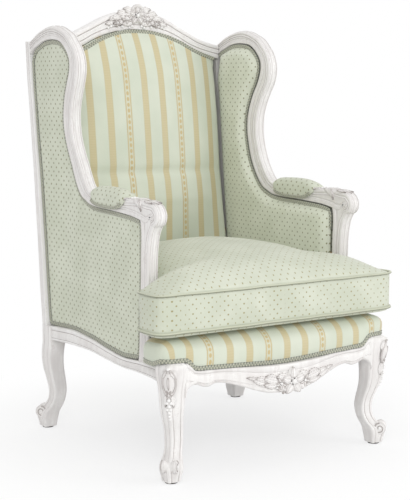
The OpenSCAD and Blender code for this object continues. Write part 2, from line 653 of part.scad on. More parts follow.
module outside_gimp(left) {
    color(braid) both(left)
        side_gimp(panel_outline, 1, 0, len(panel_outline) - 1, panel_x + 7.2, panel_x + 7.2 + gimp_t, true);
}

// Arm pad: distance back, top, lower edge of its flaps
pad_stations = [[59, 674, 661], [52, 680, 650], [38, 685, 642], [12, 687, 637], [-20, 688, 635],
    [-58, 687, 635], [-86, 683, 639], [-104, 677, 648], [-116, 671, 657]];
pad_half = post_w / 2 + 7;
arm_tops = [[-146, 665], [-98, 662], [20, 662], [44, 664], [62, 668]];
module arm_pad(left) {
    w = post_w / 2 + gap;
    color(dotted_silk) both(left)
        skin([for (s = curve(pad_stations, 2)) let (top = s[1] - 28 + arm_pad, low = s[2],
            seat = table(arm_tops, s[0]) + 0.4)
            [for (q = [[-pad_half, low], [-pad_half - 0.6, (low + top) / 2 - 2], [-w * 0.8, top - 5],
                [0, top], [w * 0.8, top - 5], [pad_half + 0.6, (low + top) / 2 - 2], [pad_half, low],
                [w, low], [w, seat], [-w, seat], [-w, low]])
                [mid_x + q[0], s[0], q[1]]]]);
}

module arm_pad_gimp(left) {
    color(braid) both(left) for (x = [mid_x - pad_half - 0.9 - gimp_t, mid_x + pad_half + 0.9])
        skin([for (s = curve(pad_stations, 2)) if (s[0] < 46 && s[0] > -98)
            [[x, s[0], s[2]], [x + gimp_t, s[0], s[2]], [x + gimp_t, s[0], s[2] + 6], [x, s[0], s[2] + 6]]]);
}

cushion_outline = both_sides(cushion_half);
cover_t = 2;
boxing_low = cushion_base + 2 * piping_r + 0.2;
boxing_top = boxing_low + boxing_h;
boxing_in = 2 * piping_r;

module cushion_boxing() {
    heights = [0, 0.3, 0.7, 1];
    drawn = [0, -1.6, -1.6, 0];
    rings = [for (i = [0:3]) [for (q = inset(cushion_outline, boxing_in + drawn[i]))
        [q[0], q[1], boxing_low + boxing_h * heights[i]]]];
    inner = [for (i = [3:-1:0]) [for (q = inset(cushion_outline, boxing_in + drawn[i] + cover_t))
        [q[0], q[1], boxing_low + boxing_h * heights[i]]]];
    color(dotted_silk) skin(concat(rings, inner), closed = true);
}

crown_rings = [0.985, 0.94, 0.85, 0.7, 0.45];
// Crowned sheet: outer face up by rise, inner face t below it
function sheet_rings(z, crown) = [for (s = crown_rings)
    seat_ring(inset(cushion_outline, boxing_in + 1), s, z, crown)];
module cushion_top() {
    edge = inset(cushion_outline, boxing_in + 1);
    z = boxing_top + 0.4;
    upper = sheet_rings(z + cover_t, cushion_crown);
    lower = sheet_rings(z, cushion_crown - 1);
    hub = cushion_crown * seat_bulge(seat_centre, ear_half, seat_half);
    color(dotted_silk) skin(
        concat([for (i = [len(lower) - 1:-1:0]) lower[i]],
            [[for (q = edge) [q[0], q[1], z]], [for (q = edge) [q[0], q[1], z + cover_t]]], upper),
        start = [seat_centre[0], seat_centre[1], z + hub - 1],
        finish = [seat_centre[0], seat_centre[1], z + cover_t + hub]);
}

module cushion_bottom() {
    color(dotted_silk) translate([0, 0, boxing_low - 0.4 - cover_t])
        linear_extrude(cover_t) polygon(inset(cushion_outline, boxing_in + 1));
}

module cushion_filling() {
    edge = inset(cushion_outline, boxing_in + cover_t + 3);
    crown = cushion_crown - 9;
    rings = [for (s = [0.98, 0.93, 0.84, 0.66, 0.4]) seat_ring(edge, s, boxing_top - 1.4, crown)];
    hub = crown * seat_bulge(seat_centre, ear_half, seat_half);
    color(linen) skin(concat([[for (q = edge) [q[0], q[1], boxing_low + 0.4]],
        [for (q = edge) [q[0], q[1], boxing_top - 1.5]]], rings),
        finish = [seat_centre[0], seat_centre[1], boxing_top - 1.4 + hub]);
}

module piping(z) {
    line = loop(inset(cushion_outline, piping_r), 1);
    n = len(line);
    skin([for (i = [0:n - 1]) let (side = turned(unit(line[(i + 1) % n] - line[(i + n - 1) % n])))
        [for (a = [0:60:300]) let (r = line[i] + side * piping_r * cos(a))
            [r[0], r[1], z + piping_r * sin(a)]]], closed = true);
}

module upper_piping() {
    color(dotted_silk) piping(boxing_top + piping_r + 0.3);
}

module lower_piping() {
    color(dotted_silk) piping(cushion_base + piping_r);
}

module glide(left, back) {
    foot = back ? back_foot : front_foot;
    color(dark) both(left) translate([foot[0], foot[1], 0]) cylinder(r = glide_r, h = glide_h, $fn = 40);
}

front_leg(true);  // front_leg_left
front_leg(false);  // front_leg_right
back_leg(true);  // back_leg_left
back_leg(false);  // back_leg_right
front_seat_rail();
side_seat_rail(true);  // side_seat_rail_left
side_seat_rail(false);  // side_seat_rail_right
back_seat_rail();
arm_post(true);  // arm_post_left
arm_post(false);  // arm_post_right
arm_rail(true);  // arm_rail_left
arm_rail(false);  // arm_rail_right
wing_rail(true);  // wing_rail_left
wing_rail(false);  // wing_rail_right
crest_rail();
crest_carving();
apron_carving();
lower_back_rail();
arm_stay(true);  // arm_stay_left
arm_stay(false);  // arm_stay_right
corner_blocks();
corner_screws();
frame_dowels();
seat_springs();
spring_clips();
spring_cloth();
seat_deck();
deck_gimp();
back_webbing();
inside_back();
inside_back_gimp();
outside_back();
outside_back_gimp();
inside_panel(true);  // inside_panel_left
inside_panel(false);  // inside_panel_right
inside_gimp(true);  // inside_gimp_left
inside_gimp(false);  // inside_gimp_right
outside_panel(true);  // outside_panel_left
outside_panel(false);  // outside_panel_right
outside_gimp(true);  // outside_gimp_left
outside_gimp(false);  // outside_gimp_right
arm_pad(true);  // arm_pad_left
arm_pad(false);  // arm_pad_right
arm_pad_gimp(true);  // arm_pad_gimp_left
arm_pad_gimp(false);  // arm_pad_gimp_right
cushion_top();
cushion_bottom();
cushion_boxing();
cushion_filling();
upper_piping();
lower_piping();
dust_cover();
glide(true, false);  // glide_front_left
glide(false, false);  // glide_front_right
glide(true, true);  // glide_back_left
glide(false, true);  // glide_back_right
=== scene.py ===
import json
import math
import bpy
import numpy as np
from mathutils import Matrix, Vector, geometry, kdtree


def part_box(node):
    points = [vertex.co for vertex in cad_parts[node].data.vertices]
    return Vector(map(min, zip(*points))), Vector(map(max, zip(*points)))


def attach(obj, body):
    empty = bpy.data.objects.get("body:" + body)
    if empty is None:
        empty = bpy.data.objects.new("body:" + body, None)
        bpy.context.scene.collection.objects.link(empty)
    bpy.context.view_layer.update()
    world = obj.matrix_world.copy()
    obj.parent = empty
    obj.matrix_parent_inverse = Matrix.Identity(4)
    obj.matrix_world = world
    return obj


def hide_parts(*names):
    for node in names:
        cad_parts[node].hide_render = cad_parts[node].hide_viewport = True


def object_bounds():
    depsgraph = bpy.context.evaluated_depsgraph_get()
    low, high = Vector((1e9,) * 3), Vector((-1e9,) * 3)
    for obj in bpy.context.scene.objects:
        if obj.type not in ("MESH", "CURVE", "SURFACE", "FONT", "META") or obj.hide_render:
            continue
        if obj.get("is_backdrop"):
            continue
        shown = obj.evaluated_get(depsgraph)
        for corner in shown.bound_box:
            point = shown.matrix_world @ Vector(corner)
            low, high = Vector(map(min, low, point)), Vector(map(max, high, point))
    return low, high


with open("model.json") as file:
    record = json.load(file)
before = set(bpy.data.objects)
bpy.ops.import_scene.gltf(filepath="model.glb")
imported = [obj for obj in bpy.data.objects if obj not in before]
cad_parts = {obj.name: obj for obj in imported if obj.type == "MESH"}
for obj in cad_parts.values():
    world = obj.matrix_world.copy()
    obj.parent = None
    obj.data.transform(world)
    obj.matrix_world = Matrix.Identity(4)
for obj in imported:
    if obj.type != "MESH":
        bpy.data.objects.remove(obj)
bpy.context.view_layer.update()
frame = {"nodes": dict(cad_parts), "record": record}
mm = 0.001


# lines and meshes, all in millimetres until they become a piece

def smoothLine(points, steps, closed=False):
    p = np.asarray(points, float)
    n = len(p)
    rows = []
    for i in range(n if closed else n - 1):
        if closed:
            a, b, c, d = p[i - 1], p[i], p[(i + 1) % n], p[(i + 2) % n]
        else:
            a, b, c, d = p[max(i - 1, 0)], p[i], p[i + 1], p[min(i + 2, n - 1)]
        for k in np.arange(steps) / steps:
            rows.append((2 * b + (c - a) * k + (2 * a - 5 * b + 4 * c - d) * k * k
                         + (3 * b - a - 3 * c + d) * k ** 3) / 2)
    if not closed:
        rows.append(p[-1])
    return np.array(rows)


def lengths(line):
    return np.concatenate([[0], np.cumsum(np.linalg.norm(np.diff(line, axis=0), axis=1))])


def evenLine(line, spacing, closed=False):
    line = np.asarray(line, float)
    if closed:
        line = np.vstack([line, line[:1]])
    s = lengths(line)
    n = max(int(round(s[-1] / spacing)), 2)
    at = np.linspace(0, s[-1], n + 1)
    out = np.stack([np.interp(at, s, line[:, k]) for k in range(line.shape[1])], 1)
    return out[:-1] if closed else out


def unit(v):
    v = np.asarray(v, float)
    return v / np.maximum(np.linalg.norm(v, axis=-1, keepdims=True), 1e-9)


def tangents(line, closed=False):
    if closed:
        return unit(np.roll(line, -1, 0) - np.roll(line, 1, 0))
    return unit(np.gradient(line, axis=0))


def gridFaces(rows, columns, closeRows=False, closeColumns=False):
    faces = []
    for i in range(rows if closeRows else rows - 1):
        for j in range(columns if closeColumns else columns - 1):
            a, b = i * columns + j, i * columns + (j + 1) % columns
            up = ((i + 1) % rows) * columns
            faces.append((a, b, up + (j + 1) % columns, up + j))
    return faces


def sweep(rings, closedLine=False):
    rings = np.asarray(rings, float)
    m, n = rings.shape[:2]
    faces = gridFaces(m, n, closedLine, True)
    if not closedLine:
        faces.append(tuple(range(n - 1, -1, -1)))
        faces.append(tuple((m - 1) * n + j for j in range(n)))
    return rings.reshape(-1, 3), faces


def join(shapes):
    points, faces, start = [], [], 0
    for p, f in shapes:
        points.append(np.asarray(p, float))
        faces += [tuple(i + start for i in face) for face in f]
        start += len(p)
    return np.vstack(points), faces


def turned(shape):
    points, faces = shape
    return points, [tuple(reversed(face)) for face in faces]


def mirrored(shape):
    return turned((shape[0] * [-1, 1, 1], shape[1]))


def facingOut(shape):
    # turns a closed shape's faces outwards
    points, faces = np.asarray(shape[0], float), shape[1]
    middle = points - points.mean(0)
    volume = sum(np.dot(middle[f[0]], np.cross(middle[f[i]], middle[f[i + 1]]))
                 for f in faces for i in range(1, len(f) - 1))
    return (points, faces) if volume > 0 else turned((points, faces))


def closedSheet(front, rear, faces):
    # a sheet and its copy behind it, joined by walls along their rims
    n = len(front)
    edges = {(a, b) for f in faces for a, b in zip(f, f[1:] + f[:1])}
    walls = sorted((b, a, a + n, b + n) for a, b in edges if (b, a) not in edges)
    return np.vstack([front, rear]), faces + walls + [tuple(i + n for i in f[::-1]) for f in faces]


def tube(line, radius, sides=8, closed=False):
    line = np.asarray(line, float)
    t = tangents(line, closed)
    side = unit(np.cross(t, [0.05, 0.1, 1.0]))  # nearly upright, so that no line runs along it
    up = np.cross(side, t)
    r = np.broadcast_to(radius, (len(line),))[:, None, None]
    turn = np.arange(sides) / sides * 2 * math.pi
    ring = side[:, None] * np.cos(turn)[None, :, None] + up[:, None] * np.sin(turn)[None, :, None]
    return sweep(line[:, None] + ring * r, closed)


def ball(centre, radius, rows=8, columns=12):
    a = np.linspace(0, math.pi, rows + 1)[1:-1]
    b = np.arange(columns) / columns * 2 * math.pi
    p = [(0, 0, 1)] + [(math.sin(i) * math.cos(j), math.sin(i) * math.sin(j), math.cos(i))
                       for i in a for j in b] + [(0, 0, -1)]
    last = len(p) - 1
    f = [(0, 1 + j, 1 + (j + 1) % columns) for j in range(columns)]
    for i in range(rows - 2):
        for j in range(columns):
            k = 1 + i * columns
            f.append((k + j, k + columns + j, k + columns + (j + 1) % columns, k + (j + 1) % columns))
    k = 1 + (rows - 2) * columns
    f += [(last, k + (j + 1) % columns, k + j) for j in range(columns)]
    return np.array(p) * radius + np.array(centre), f


def hollowness(points, faces):
    # how far each point lies below its neighbours, in 1/mm: grooves are above zero
    edges, normal = set(), np.zeros_like(points)
    for f in faces:
        if len(f) > 6:  # flat ends don't count
            continue
        for a, b in zip(f, f[1:] + f[:1]):
            edges.add((min(a, b), max(a, b)))
        q = points[list(f)]
        normal[list(f)] += (np.cross(q[1] - q[0], q[2] - q[0]) if len(f) == 3
                            else np.cross(q[2] - q[0], q[3] - q[1]))
    a, b = np.array(sorted(edges)).T
    step = points[b] - points[a]
    near = 1 / np.maximum((step * step).sum(1), 0.04)
    total, weight = np.zeros_like(points), np.zeros(len(points))
    for end, way in ((a, 1), (b, -1)):
        np.add.at(total, end, way * step * near[:, None])
        np.add.at(weight, end, 1)
    return (total * unit(normal)).sum(1) / np.maximum(weight, 1)


def keep(mesh, name, domain, values):
    # stores a value or a vector for each point or corner
    kind, field = ("FLOAT", "value") if values.ndim == 1 else ("FLOAT_VECTOR", "vector")
    layer = mesh.attributes.new(name, kind, domain)
    layer.data.foreach_set(field, values.astype(np.float32).ravel())


relief = {"gain": 4, "low": -1, "high": 1.6}  # how strongly grooves and edges count for the paint's glaze, painted shade and painted highlight


def makePiece(name, shape, look, nodes=(), slot=None, body="chair", cloth=None, sharp=40, carved=0):
    # look names the finish, and nodes are the solids that the piece replaces
    points, faces = np.asarray(shape[0], float), shape[1]
    mesh = bpy.data.meshes.new(name)
    mesh.from_pydata((points * mm).tolist(), [], faces)
    mesh.validate()
    mesh.shade_smooth()
    if sharp < 180:
        mesh.set_sharp_from_angle(angle=math.radians(sharp))
    if carved:
        deep = hollowness(points, faces) * relief["gain"] * carved
        keep(mesh, "hollow", "POINT", np.clip(deep, relief["low"], relief["high"]))
    if cloth is not None:
        places = np.zeros((len(points), 3))
        places[:, :2] = np.asarray(cloth) * mm
        keep(mesh, "cloth", "POINT", places)
    piece = bpy.data.objects.new(name, mesh)
    bpy.context.scene.collection.objects.link(piece)
    mesh.materials.append(finishes[look])
    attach(piece, body)
    if nodes:
        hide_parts(*nodes)
    return piece


def leftAndRight(name, shape, look, nodes=(), **more):
    # the shape is the right one; cloth places stay as they are on both sides
    return [makePiece(name + where.capitalize(), mirrored(shape) if where == "left" else shape, look,
                      [node + "_" + where for node in nodes], **more) for where in ("left", "right")]


# shader maths

class Wire:
    def __init__(self, finish, socket):
        self.finish, self.socket = finish, socket

    def do(self, operation, *others):
        return self.finish.maths(operation, self, *others)

    def __add__(self, other): return self.do("ADD", other)
    def __sub__(self, other): return self.do("SUBTRACT", other)
    def __rsub__(self, other): return self.finish.maths("SUBTRACT", other, self)
    def __mul__(self, other): return self.do("MULTIPLY", other)
    def __truediv__(self, other): return self.do("DIVIDE", other)
    def __rtruediv__(self, other): return self.finish.maths("DIVIDE", other, self)
    def __gt__(self, other): return self.do("GREATER_THAN", other)
    __radd__, __rmul__ = __add__, __mul__


class Finish:
    # a new material, or a node tree that is given
    def __init__(self, name, tree=None):
        if tree is None:
            self.material = bpy.data.materials.new(name)
            self.material.use_nodes = True
            tree = self.material.node_tree
        self.tree = tree
        self.tree.nodes.clear()

    def node(self, kind, settings, sockets, output=0):
        made = self.tree.nodes.new(kind)
        for key, value in settings.items():
            setattr(made, key, value)
        for key, value in sockets.items():
            if isinstance(value, Wire):
                self.tree.links.new(value.socket, made.inputs[key])
            else:
                made.inputs[key].default_value = value
        return Wire(self, made.outputs[output]) if len(made.outputs) else None

    def maths(self, operation, *values):
        return self.node("ShaderNodeMath", {"operation": operation}, dict(enumerate(values)))

    def axes(self, place):
        made = self.node("ShaderNodeSeparateXYZ", {}, {0: place}).socket.node
        return [Wire(self, socket) for socket in made.outputs]

    def own(self):
        return self.node("ShaderNodeTexCoord", {}, {}, 3)  # the piece's own place in metres

    def stored(self, name, output=1):
        return self.node("ShaderNodeAttribute", {"attribute_name": name}, {}, output)

    def mix(self, share, a, b):
        settings = {"data_type": "RGBA", "clamp_factor": True}
        return self.node("ShaderNodeMix", settings, {0: share, 6: a, 7: b}, 2)

    def noise(self, scale, detail=3, rough=0.5, stretch=None):
        place = self.own()
        if stretch:
            place = self.node("ShaderNodeMapping", {}, {"Vector": place, "Scale": stretch})
        return self.node("ShaderNodeTexNoise", {}, {"Vector": place, "Scale": scale, "Detail": detail,
                                                    "Roughness": rough})

    def smooth(self, value, low, high):
        return self.node("ShaderNodeMapRange", {"interpolation_type": "SMOOTHSTEP"},
                         {"Value": value, "From Min": low, "From Max": high})

    def bump(self, height, strength, distance):
        return self.node("ShaderNodeBump", {}, {"Height": height, "Strength": strength, "Distance": distance})

    def seen(self):
        # 1 for the camera, in gloss and through glass
        rays = [self.node("ShaderNodeLightPath", {}, {}, k) for k in (0, 3, 6)]
        return (rays[0] + rays[1] + rays[2]).do("MINIMUM", 1.0)

    def surface(self, **sockets):
        names = {"colour": "Base Color", "rough": "Roughness", "normal": "Normal", "metal": "Metallic",
                 "sheen": "Sheen Weight", "sheenRough": "Sheen Roughness", "level": "Specular IOR Level"}
        shader = self.node("ShaderNodeBsdfPrincipled", {}, {names[k]: v for k, v in sockets.items()})
        self.node("ShaderNodeOutputMaterial", {}, {"Surface": shader})
        return self.material


# edge is a painted highlight for convex edges; the glaze also paints the grooves' shade; the darkest colour
# is painted shadow in the deepest hollows
paint = {"white": (0.825, 0.81, 0.795, 1), "shade": (0.73, 0.705, 0.69, 1), "edge": (0.91, 0.905, 0.895, 1),
         "worn": (0.6, 0.555, 0.53, 1), "wornShare": 0.45, "glazeAndShade": (0.30, 0.26, 0.245, 1),
         "glazeAndShadeShare": 0.74, "paintedShadow": (0.13, 0.105, 0.095, 1), "paintedShadowShare": 0.75, "rough": 0.42}


def makePaint():
    # white paint, worn in patches, with a painted highlight on its convex edges, a brown glaze in the grooves
    # that also stands in for their shade, and painted shadow in the deepest hollows
    f = Finish("paintedWood")
    hollow = f.stored("hollow", 2)
    cloudy = f.noise(9, 4, 0.6)
    strokes = f.noise(60, 4, 0.6, stretch=(1, 1, 0.16))
    specks = f.noise(240, 2, 0.5)
    deep = f.smooth(hollow + (cloudy - 0.5) * 0.34, 0.1, 0.66)
    colour = f.mix(f.smooth(cloudy * 0.5 + strokes * 0.5, 0.4, 0.6), paint["shade"], paint["white"])
    # painted highlight: lighter on convex edges
    colour = f.mix(f.smooth(hollow, -0.08, -0.5) * 0.6, colour, paint["edge"])
    colour = f.mix(f.smooth(strokes + specks * 0.4, 0.78, 0.95) * paint["wornShare"], colour, paint["worn"])
    # brown glaze in the grooves, which also stands in for the grooves' shade
    colour = f.mix(deep * paint["glazeAndShadeShare"], colour, paint["glazeAndShade"])
    # painted shadow: near-black in the deepest hollows
    colour = f.mix(f.smooth(hollow, 0.8, 1.5) * paint["paintedShadowShare"], colour, paint["paintedShadow"])
    rough = deep * 0.2 + paint["rough"] + (cloudy - 0.5) * 0.12
    return f.surface(colour=colour, rough=rough, normal=f.bump(strokes * 0.7 + specks * 0.3, 0.25, 0.0006),
                     level=0.35)


def weave(f, count):
    # over-and-under threads, and the cloth's own directions in metres
    x, y, z = f.axes(f.stored("cloth"))
    turn = 6283 * count  # a full turn times 1000, so count is threads to a millimetre
    return (x * turn).do("SINE") * (y * turn).do("SINE"), x, y


silkSheen = {"sheen": 0.25, "sheenRough": 0.35, "level": 0.4}
# light is also the lighter tone that the painted sheen clouds mix towards
silk = {"field": (0.56, 0.59, 0.475, 1), "light": (0.66, 0.685, 0.575, 1), "dot": (0.19, 0.18, 0.08, 1),
        "pitch": 0.0226, "dotSize": 0.00215, "threads": 0.9}
# a darker copy of the same silk for the cushion as painted shade, with lighter dots as painted reflection
seatSilkPaintedLight = {**silk, "field": (0.53, 0.56, 0.45, 1), "light": (0.63, 0.655, 0.55, 1),
            "dot": (0.31, 0.275, 0.12, 1), "dotSize": 0.0018}
# a lighter copy of the same silk for the inside panels, painted light
insideSilkPaintedLight = {**silk, "field": (0.62, 0.65, 0.53, 1), "light": (0.72, 0.745, 0.635, 1), "dotSize": 0.0019}


def makeDottedSilk(name, look):
    f = Finish(name)
    threads, x, y = weave(f, look["threads"])
    pitch, size = look["pitch"], look["dotSize"]
    away = []
    for shift in (0, 0.5):  # two sets of dots, one in the gaps of the other
        u, v = (((axis / pitch + shift).do("FRACT") - 0.5) * pitch for axis in (x, y))
        away.append((u * u + v * v * 0.72).do("SQRT"))
    dots = 1 - f.smooth(away[0].do("MINIMUM", away[1]), size * 0.75, size * 1.25)  # with soft edges
    # painted sheen: lighter and darker clouds in the colour stand in for the satin's sheen
    cloudy = f.smooth(f.noise(11, 3, 0.5), 0.3, 0.7)
    colour = f.mix(cloudy * 0.7 + threads * 0.12 + 0.15, look["field"], look["light"])
    colour = f.mix(dots * 0.9, colour, look["dot"])
    normal = f.bump(threads * 0.4 + dots, 0.3, 0.0004)
    return f.surface(colour=colour, rough=0.5 - dots * 0.1, normal=normal, **silkSheen)


# light is also the lighter tone that the painted sheen clouds mix towards
stripes = {"field": (0.56, 0.605, 0.495, 1), "light": (0.665, 0.69, 0.585, 1), "band": (0.52, 0.45, 0.26, 1),
           "bandLight": (0.63, 0.57, 0.38, 1), "bead": (0.55, 0.40, 0.17, 1), "edge": (0.45, 0.39, 0.22, 1),
           "pitch": 0.057, "width": 0.0195, "first": -0.011, "beadPitch": 0.016, "threads": 0.9}


def makeStripedSilk():
    f = Finish("stripedSilk")
    threads, x, y = weave(f, stripes["threads"])
    count = (x - stripes["first"]) / stripes["pitch"] + 0.5
    u = (count.do("FRACT") - 0.5) * stripes["pitch"]
    away, half = u.do("ABSOLUTE"), stripes["width"] / 2
    band = 1 - f.smooth(away, half - 0.0012, half + 0.0012)
    # every third stripe is a chain of beads between two cords
    chain = ((count.do("FLOOR") + 301) / 3).do("FRACT").do("COMPARE", 0.0, 0.1)
    v = ((y / stripes["beadPitch"]).do("FRACT") - 0.5) * stripes["beadPitch"]
    bead = 1 - f.smooth((u * u + v * v * 0.5).do("SQRT"), 0.0034, 0.0046)
    cord = 1 - f.smooth((away - half * 0.78).do("ABSOLUTE"), 0.0009, 0.0016)
    drawn = bead.do("MAXIMUM", cord) * chain * band
    ground = band * chain * (1 - drawn)
    ribs = ((y * 900).do("SINE") * 0.5 + 0.5) * band * (1 - chain)
    # painted sheen: lighter and darker clouds in the colour stand in for the satin's sheen
    cloudy = f.smooth(f.noise(10, 3, 0.5), 0.2, 0.8)
    colour = f.mix(cloudy * 0.6 + threads * 0.12 + 0.15, stripes["field"], stripes["light"])
    tan = f.mix(ribs * 0.15 + 0.3, stripes["band"], stripes["bandLight"])
    colour = f.mix(band * (1 - ground * 0.75), colour, tan)
    colour = f.mix(drawn * 0.5, colour, stripes["bead"])
    edge = 1 - f.smooth((away - half).do("ABSOLUTE"), 0.0004, 0.0012)
    colour = f.mix(edge * 0.25, colour, stripes["edge"])
    normal = f.bump(threads * 0.4 + band * 0.6 + drawn, 0.3, 0.0004)
    return f.surface(colour=colour, rough=0.5 - band * 0.08, normal=normal, **silkSheen)


# under is the painted shade colour for the piping's underside
cordSilk = {"dark": (0.47, 0.49, 0.37, 1), "light": (0.60, 0.62, 0.50, 1), "under": (0.20, 0.21, 0.14, 1),
            "threads": 0.7}


def makeCordedSilkWithPaintedShade():
    # for the piping, with painted shade: darker where it faces down
    f = Finish("cordedSilkPaintedShade")
    threads = weave(f, cordSilk["threads"])[0]
    up = f.axes(f.node("ShaderNodeNewGeometry", {}, {}, 1))[2]
    colour = f.mix(threads * 0.5 + 0.5, cordSilk["dark"], cordSilk["light"])
    # painted shade: the underside goes darker
    colour = f.mix(f.smooth(up, 0.25, -0.35) * 0.8, colour, cordSilk["under"])
    normal = f.bump(threads, 0.4, 0.0004)
    return f.surface(colour=colour, rough=0.5 + threads * 0.05, normal=normal, **silkSheen)


# rim is the painted shade along the braid's edges
braid = {"width": 10.4, "thick": 2.6, "step": 1.3, "loop": 8.5, "plaits": 740, "dark": (0.215, 0.23, 0.19, 1),
         "light": (0.49, 0.49, 0.39, 1), "rim": (0.075, 0.085, 0.09, 1), "edgeShadeShare": 0.68}


def makeBraid():
    # two rows of plaits, each slanting the other way, between near-black rims that are painted shade along
    # the braid's edges
    f = Finish("wovenBraid")
    x, y, z = f.axes(f.stored("cloth"))
    fine = f.noise(230, 3, 0.6)
    shift = (y > 0) * 3.1416  # half a turn between the two rows
    loops = (x * braid["plaits"] + shift + fine * 3).do("SINE") * 0.5 + 0.5
    colour = f.mix(f.smooth(loops * 0.6 + fine * 0.7, 0.3, 1.0), braid["dark"], braid["light"])
    # painted shade: near-black along both edges of the braid
    colour = f.mix(f.smooth((y * 1000).do("ABSOLUTE"), 4.2, 5.0) * braid["edgeShadeShare"], colour, braid["rim"])
    return f.surface(colour=colour, rough=0.75, normal=f.bump(loops + fine * 0.4, 0.6, 0.0006), sheen=0.3,
                     sheenRough=0.5, level=0.3)


jute = {"light": (0.62, 0.54, 0.40, 1), "dark": (0.40, 0.33, 0.22, 1), "threads": 2500}
dustCloth = {"light": (0.05, 0.05, 0.05, 1), "dark": (0.012, 0.012, 0.012, 1), "threads": 3000}


def makeCloth(name, look):
    f = Finish(name)
    x, y, z = f.axes(f.own())
    threads = (x * look["threads"]).do("SINE") * ((y + z) * look["threads"]).do("SINE")
    mottled = f.noise(300, 4, 0.6)
    colour = f.mix(threads * 0.4 + mottled * 0.6, look["dark"], look["light"])
    return f.surface(colour=colour, rough=0.9, normal=f.bump(threads + mottled, 0.5, 0.0006), sheen=0.2,
                     level=0.2)


bareWood = {"dark": (0.48, 0.32, 0.17, 1), "light": (0.72, 0.55, 0.34, 1), "pore": (0.33, 0.21, 0.11, 1)}


def makeBareWood():
    f = Finish("bareWood")
    grain = f.noise(12, 6, 0.6, stretch=(1, 7, 7))
    pores = f.noise(90, 3, 0.6, stretch=(0.3, 4, 4))
    colour = f.mix(f.smooth(grain, 0.3, 0.7), bareWood["dark"], bareWood["light"])
    colour = f.mix(f.smooth(pores, 0.6, 0.75) * 0.5, colour, bareWood["pore"])
    return f.surface(colour=colour, rough=0.55 + grain * 0.15, normal=f.bump(pores + grain, 0.3, 0.0005))


steel = {"bright": (0.50, 0.50, 0.52, 1), "stained": (0.30, 0.27, 0.25, 1)}


def makeSteel():
    f = Finish("springSteel")
    drawn = f.noise(150, 4, 0.6, stretch=(0.2, 1, 1))
    stain = f.smooth(f.noise(20, 3, 0.6), 0.5, 0.75)
    colour = f.mix(stain, steel["bright"], steel["stained"])
    return f.surface(colour=colour, metal=1.0, rough=0.3 + drawn * 0.2, normal=f.bump(drawn, 0.2, 0.0002))


glide = {"dark": (0.05, 0.045, 0.04, 1), "light": (0.09, 0.08, 0.07, 1)}


def makeGlide():
    f = Finish("mouldedGlide")
    pits = f.noise(400, 3, 0.6)
    colour = f.mix(pits, glide["dark"], glide["light"])
    return f.surface(colour=colour, rough=0.5 + pits * 0.15, normal=f.bump(pits, 0.3, 0.0002))


finishes = {"painted_wood": makePaint(), "dotted_silk": makeDottedSilk("dottedSilk", silk),
            "seat_silk": makeDottedSilk("dottedSeatSilkPaintedLight", seatSilkPaintedLight),
            "inside_silk": makeDottedSilk("dottedInsideSilkPaintedLight", insideSilkPaintedLight),
            "striped_silk": makeStripedSilk(), "corded_silk": makeCordedSilkWithPaintedShade(), "braid": makeBraid(),
            "linen": makeCloth("jute", jute), "black_cloth": makeCloth("dustCloth", dustCloth),
            "spring_steel": makeSteel(), "bare_wood": makeBareWood(), "glide_plastic": makeGlide()}
slots = {part["node"]: part["material_slot"] for part in frame["record"]["subparts"]}
for node, solid in frame["nodes"].items():
    solid.data.materials.clear()
    solid.data.materials.append(finishes[slots[node]])
print("finishes made")


# the side frame: wing, arm and post of one moulded section

side = {"inner": 284.0, "outer": 316.0, "panel": 303.0, "postOut": 14.0, "leanFrom": -190, "leanSoft": 250,
        "postFrom": 200, "postSoft": 130,
        "lean": [[300, 0], [620, -5], [730, -8], [850, 0], [950, 8], [1110, 8]]}
wingStations = [
    [360.8, 1060, 356.9, 1026], [337, 1071, 338, 1039], [314, 1082, 314, 1048], [288, 1090, 290, 1057],
    [263, 1096, 266, 1061], [235, 1098, 242, 1062], [208, 1092, 219, 1060], [184, 1083, 201, 1056],
    [160, 1072, 185, 1048], [140, 1055, 172, 1038], [120, 1034, 157, 1023], [107, 1008, 147, 1003],
    [104, 980, 149, 977], [112, 950, 161, 949], [129, 920, 179, 916], [145, 885, 192, 880],
    [153, 850, 198, 845], [151, 808, 194, 805], [139, 770, 182, 766], [118, 727, 163, 722],
    [96, 693, 143, 687], [78, 675, 118, 658], [62, 668, 92, 645]]
armStations = [
    [62, 668, 92, 645], [44, 664, 66, 636], [20, 662, 28, 632], [-38, 662, -38, 630], [-98, 662, -98, 627],
    [-146, 665, -143, 624], [-190, 665, -184, 618], [-226, 662, -215, 612], [-248, 659, -228, 622],
    [-261, 649, -233, 625], [-268, 635, -235, 628], [-266, 620, -235, 630], [-258, 609, -233, 631],
    [-245, 603, -229, 631]]
postStations = [
    [262, -225, -176], [300, -225, -181], [350, -224, -184], [410, -224, -187], [470, -225, -190],
    [530, -227, -191], [570, -233, -193], [590, -240, -193], [606, -250, -191], [622, -256, -188]]
stileStations = [
    [262, 309], [320, 316], [400, 324], [495, 331], [560, 337], [700, 350], [876, 370], [960, 381],
    [1060, 389]]
sideRailStations = [
    [-306, 236, 276, 14], [-258, 238, 273, 6], [-178, 239, 268, 0], [-100, 238, 264, -1],
    [-23, 244, 272, -1], [60, 253, 285, 1], [148, 255, 293, 5], [200, 254, 292, 8], [255, 252, 290, 12]]


def table(rows, x, column=1):
    rows = np.asarray(rows, float)
    order = np.argsort(rows[:, 0])
    return np.interp(x, rows[order, 0], rows[order, column])


def spread(points):
    # the side frame leans with its height and widens towards the back posts
    p = np.array(points, float)
    s = np.clip((p[:, 1] - side["leanFrom"]) / side["leanSoft"], 0, 1)
    t = np.clip((p[:, 1] - side["postFrom"]) / side["postSoft"], 0, 1)
    out = np.clip((p[:, 0] - side["inner"]) / (side["outer"] - side["inner"]), 0, 1)
    p[:, 0] += table(side["lean"], p[:, 2]) * s * (1 - t) + out * side["postOut"] * t
    return p


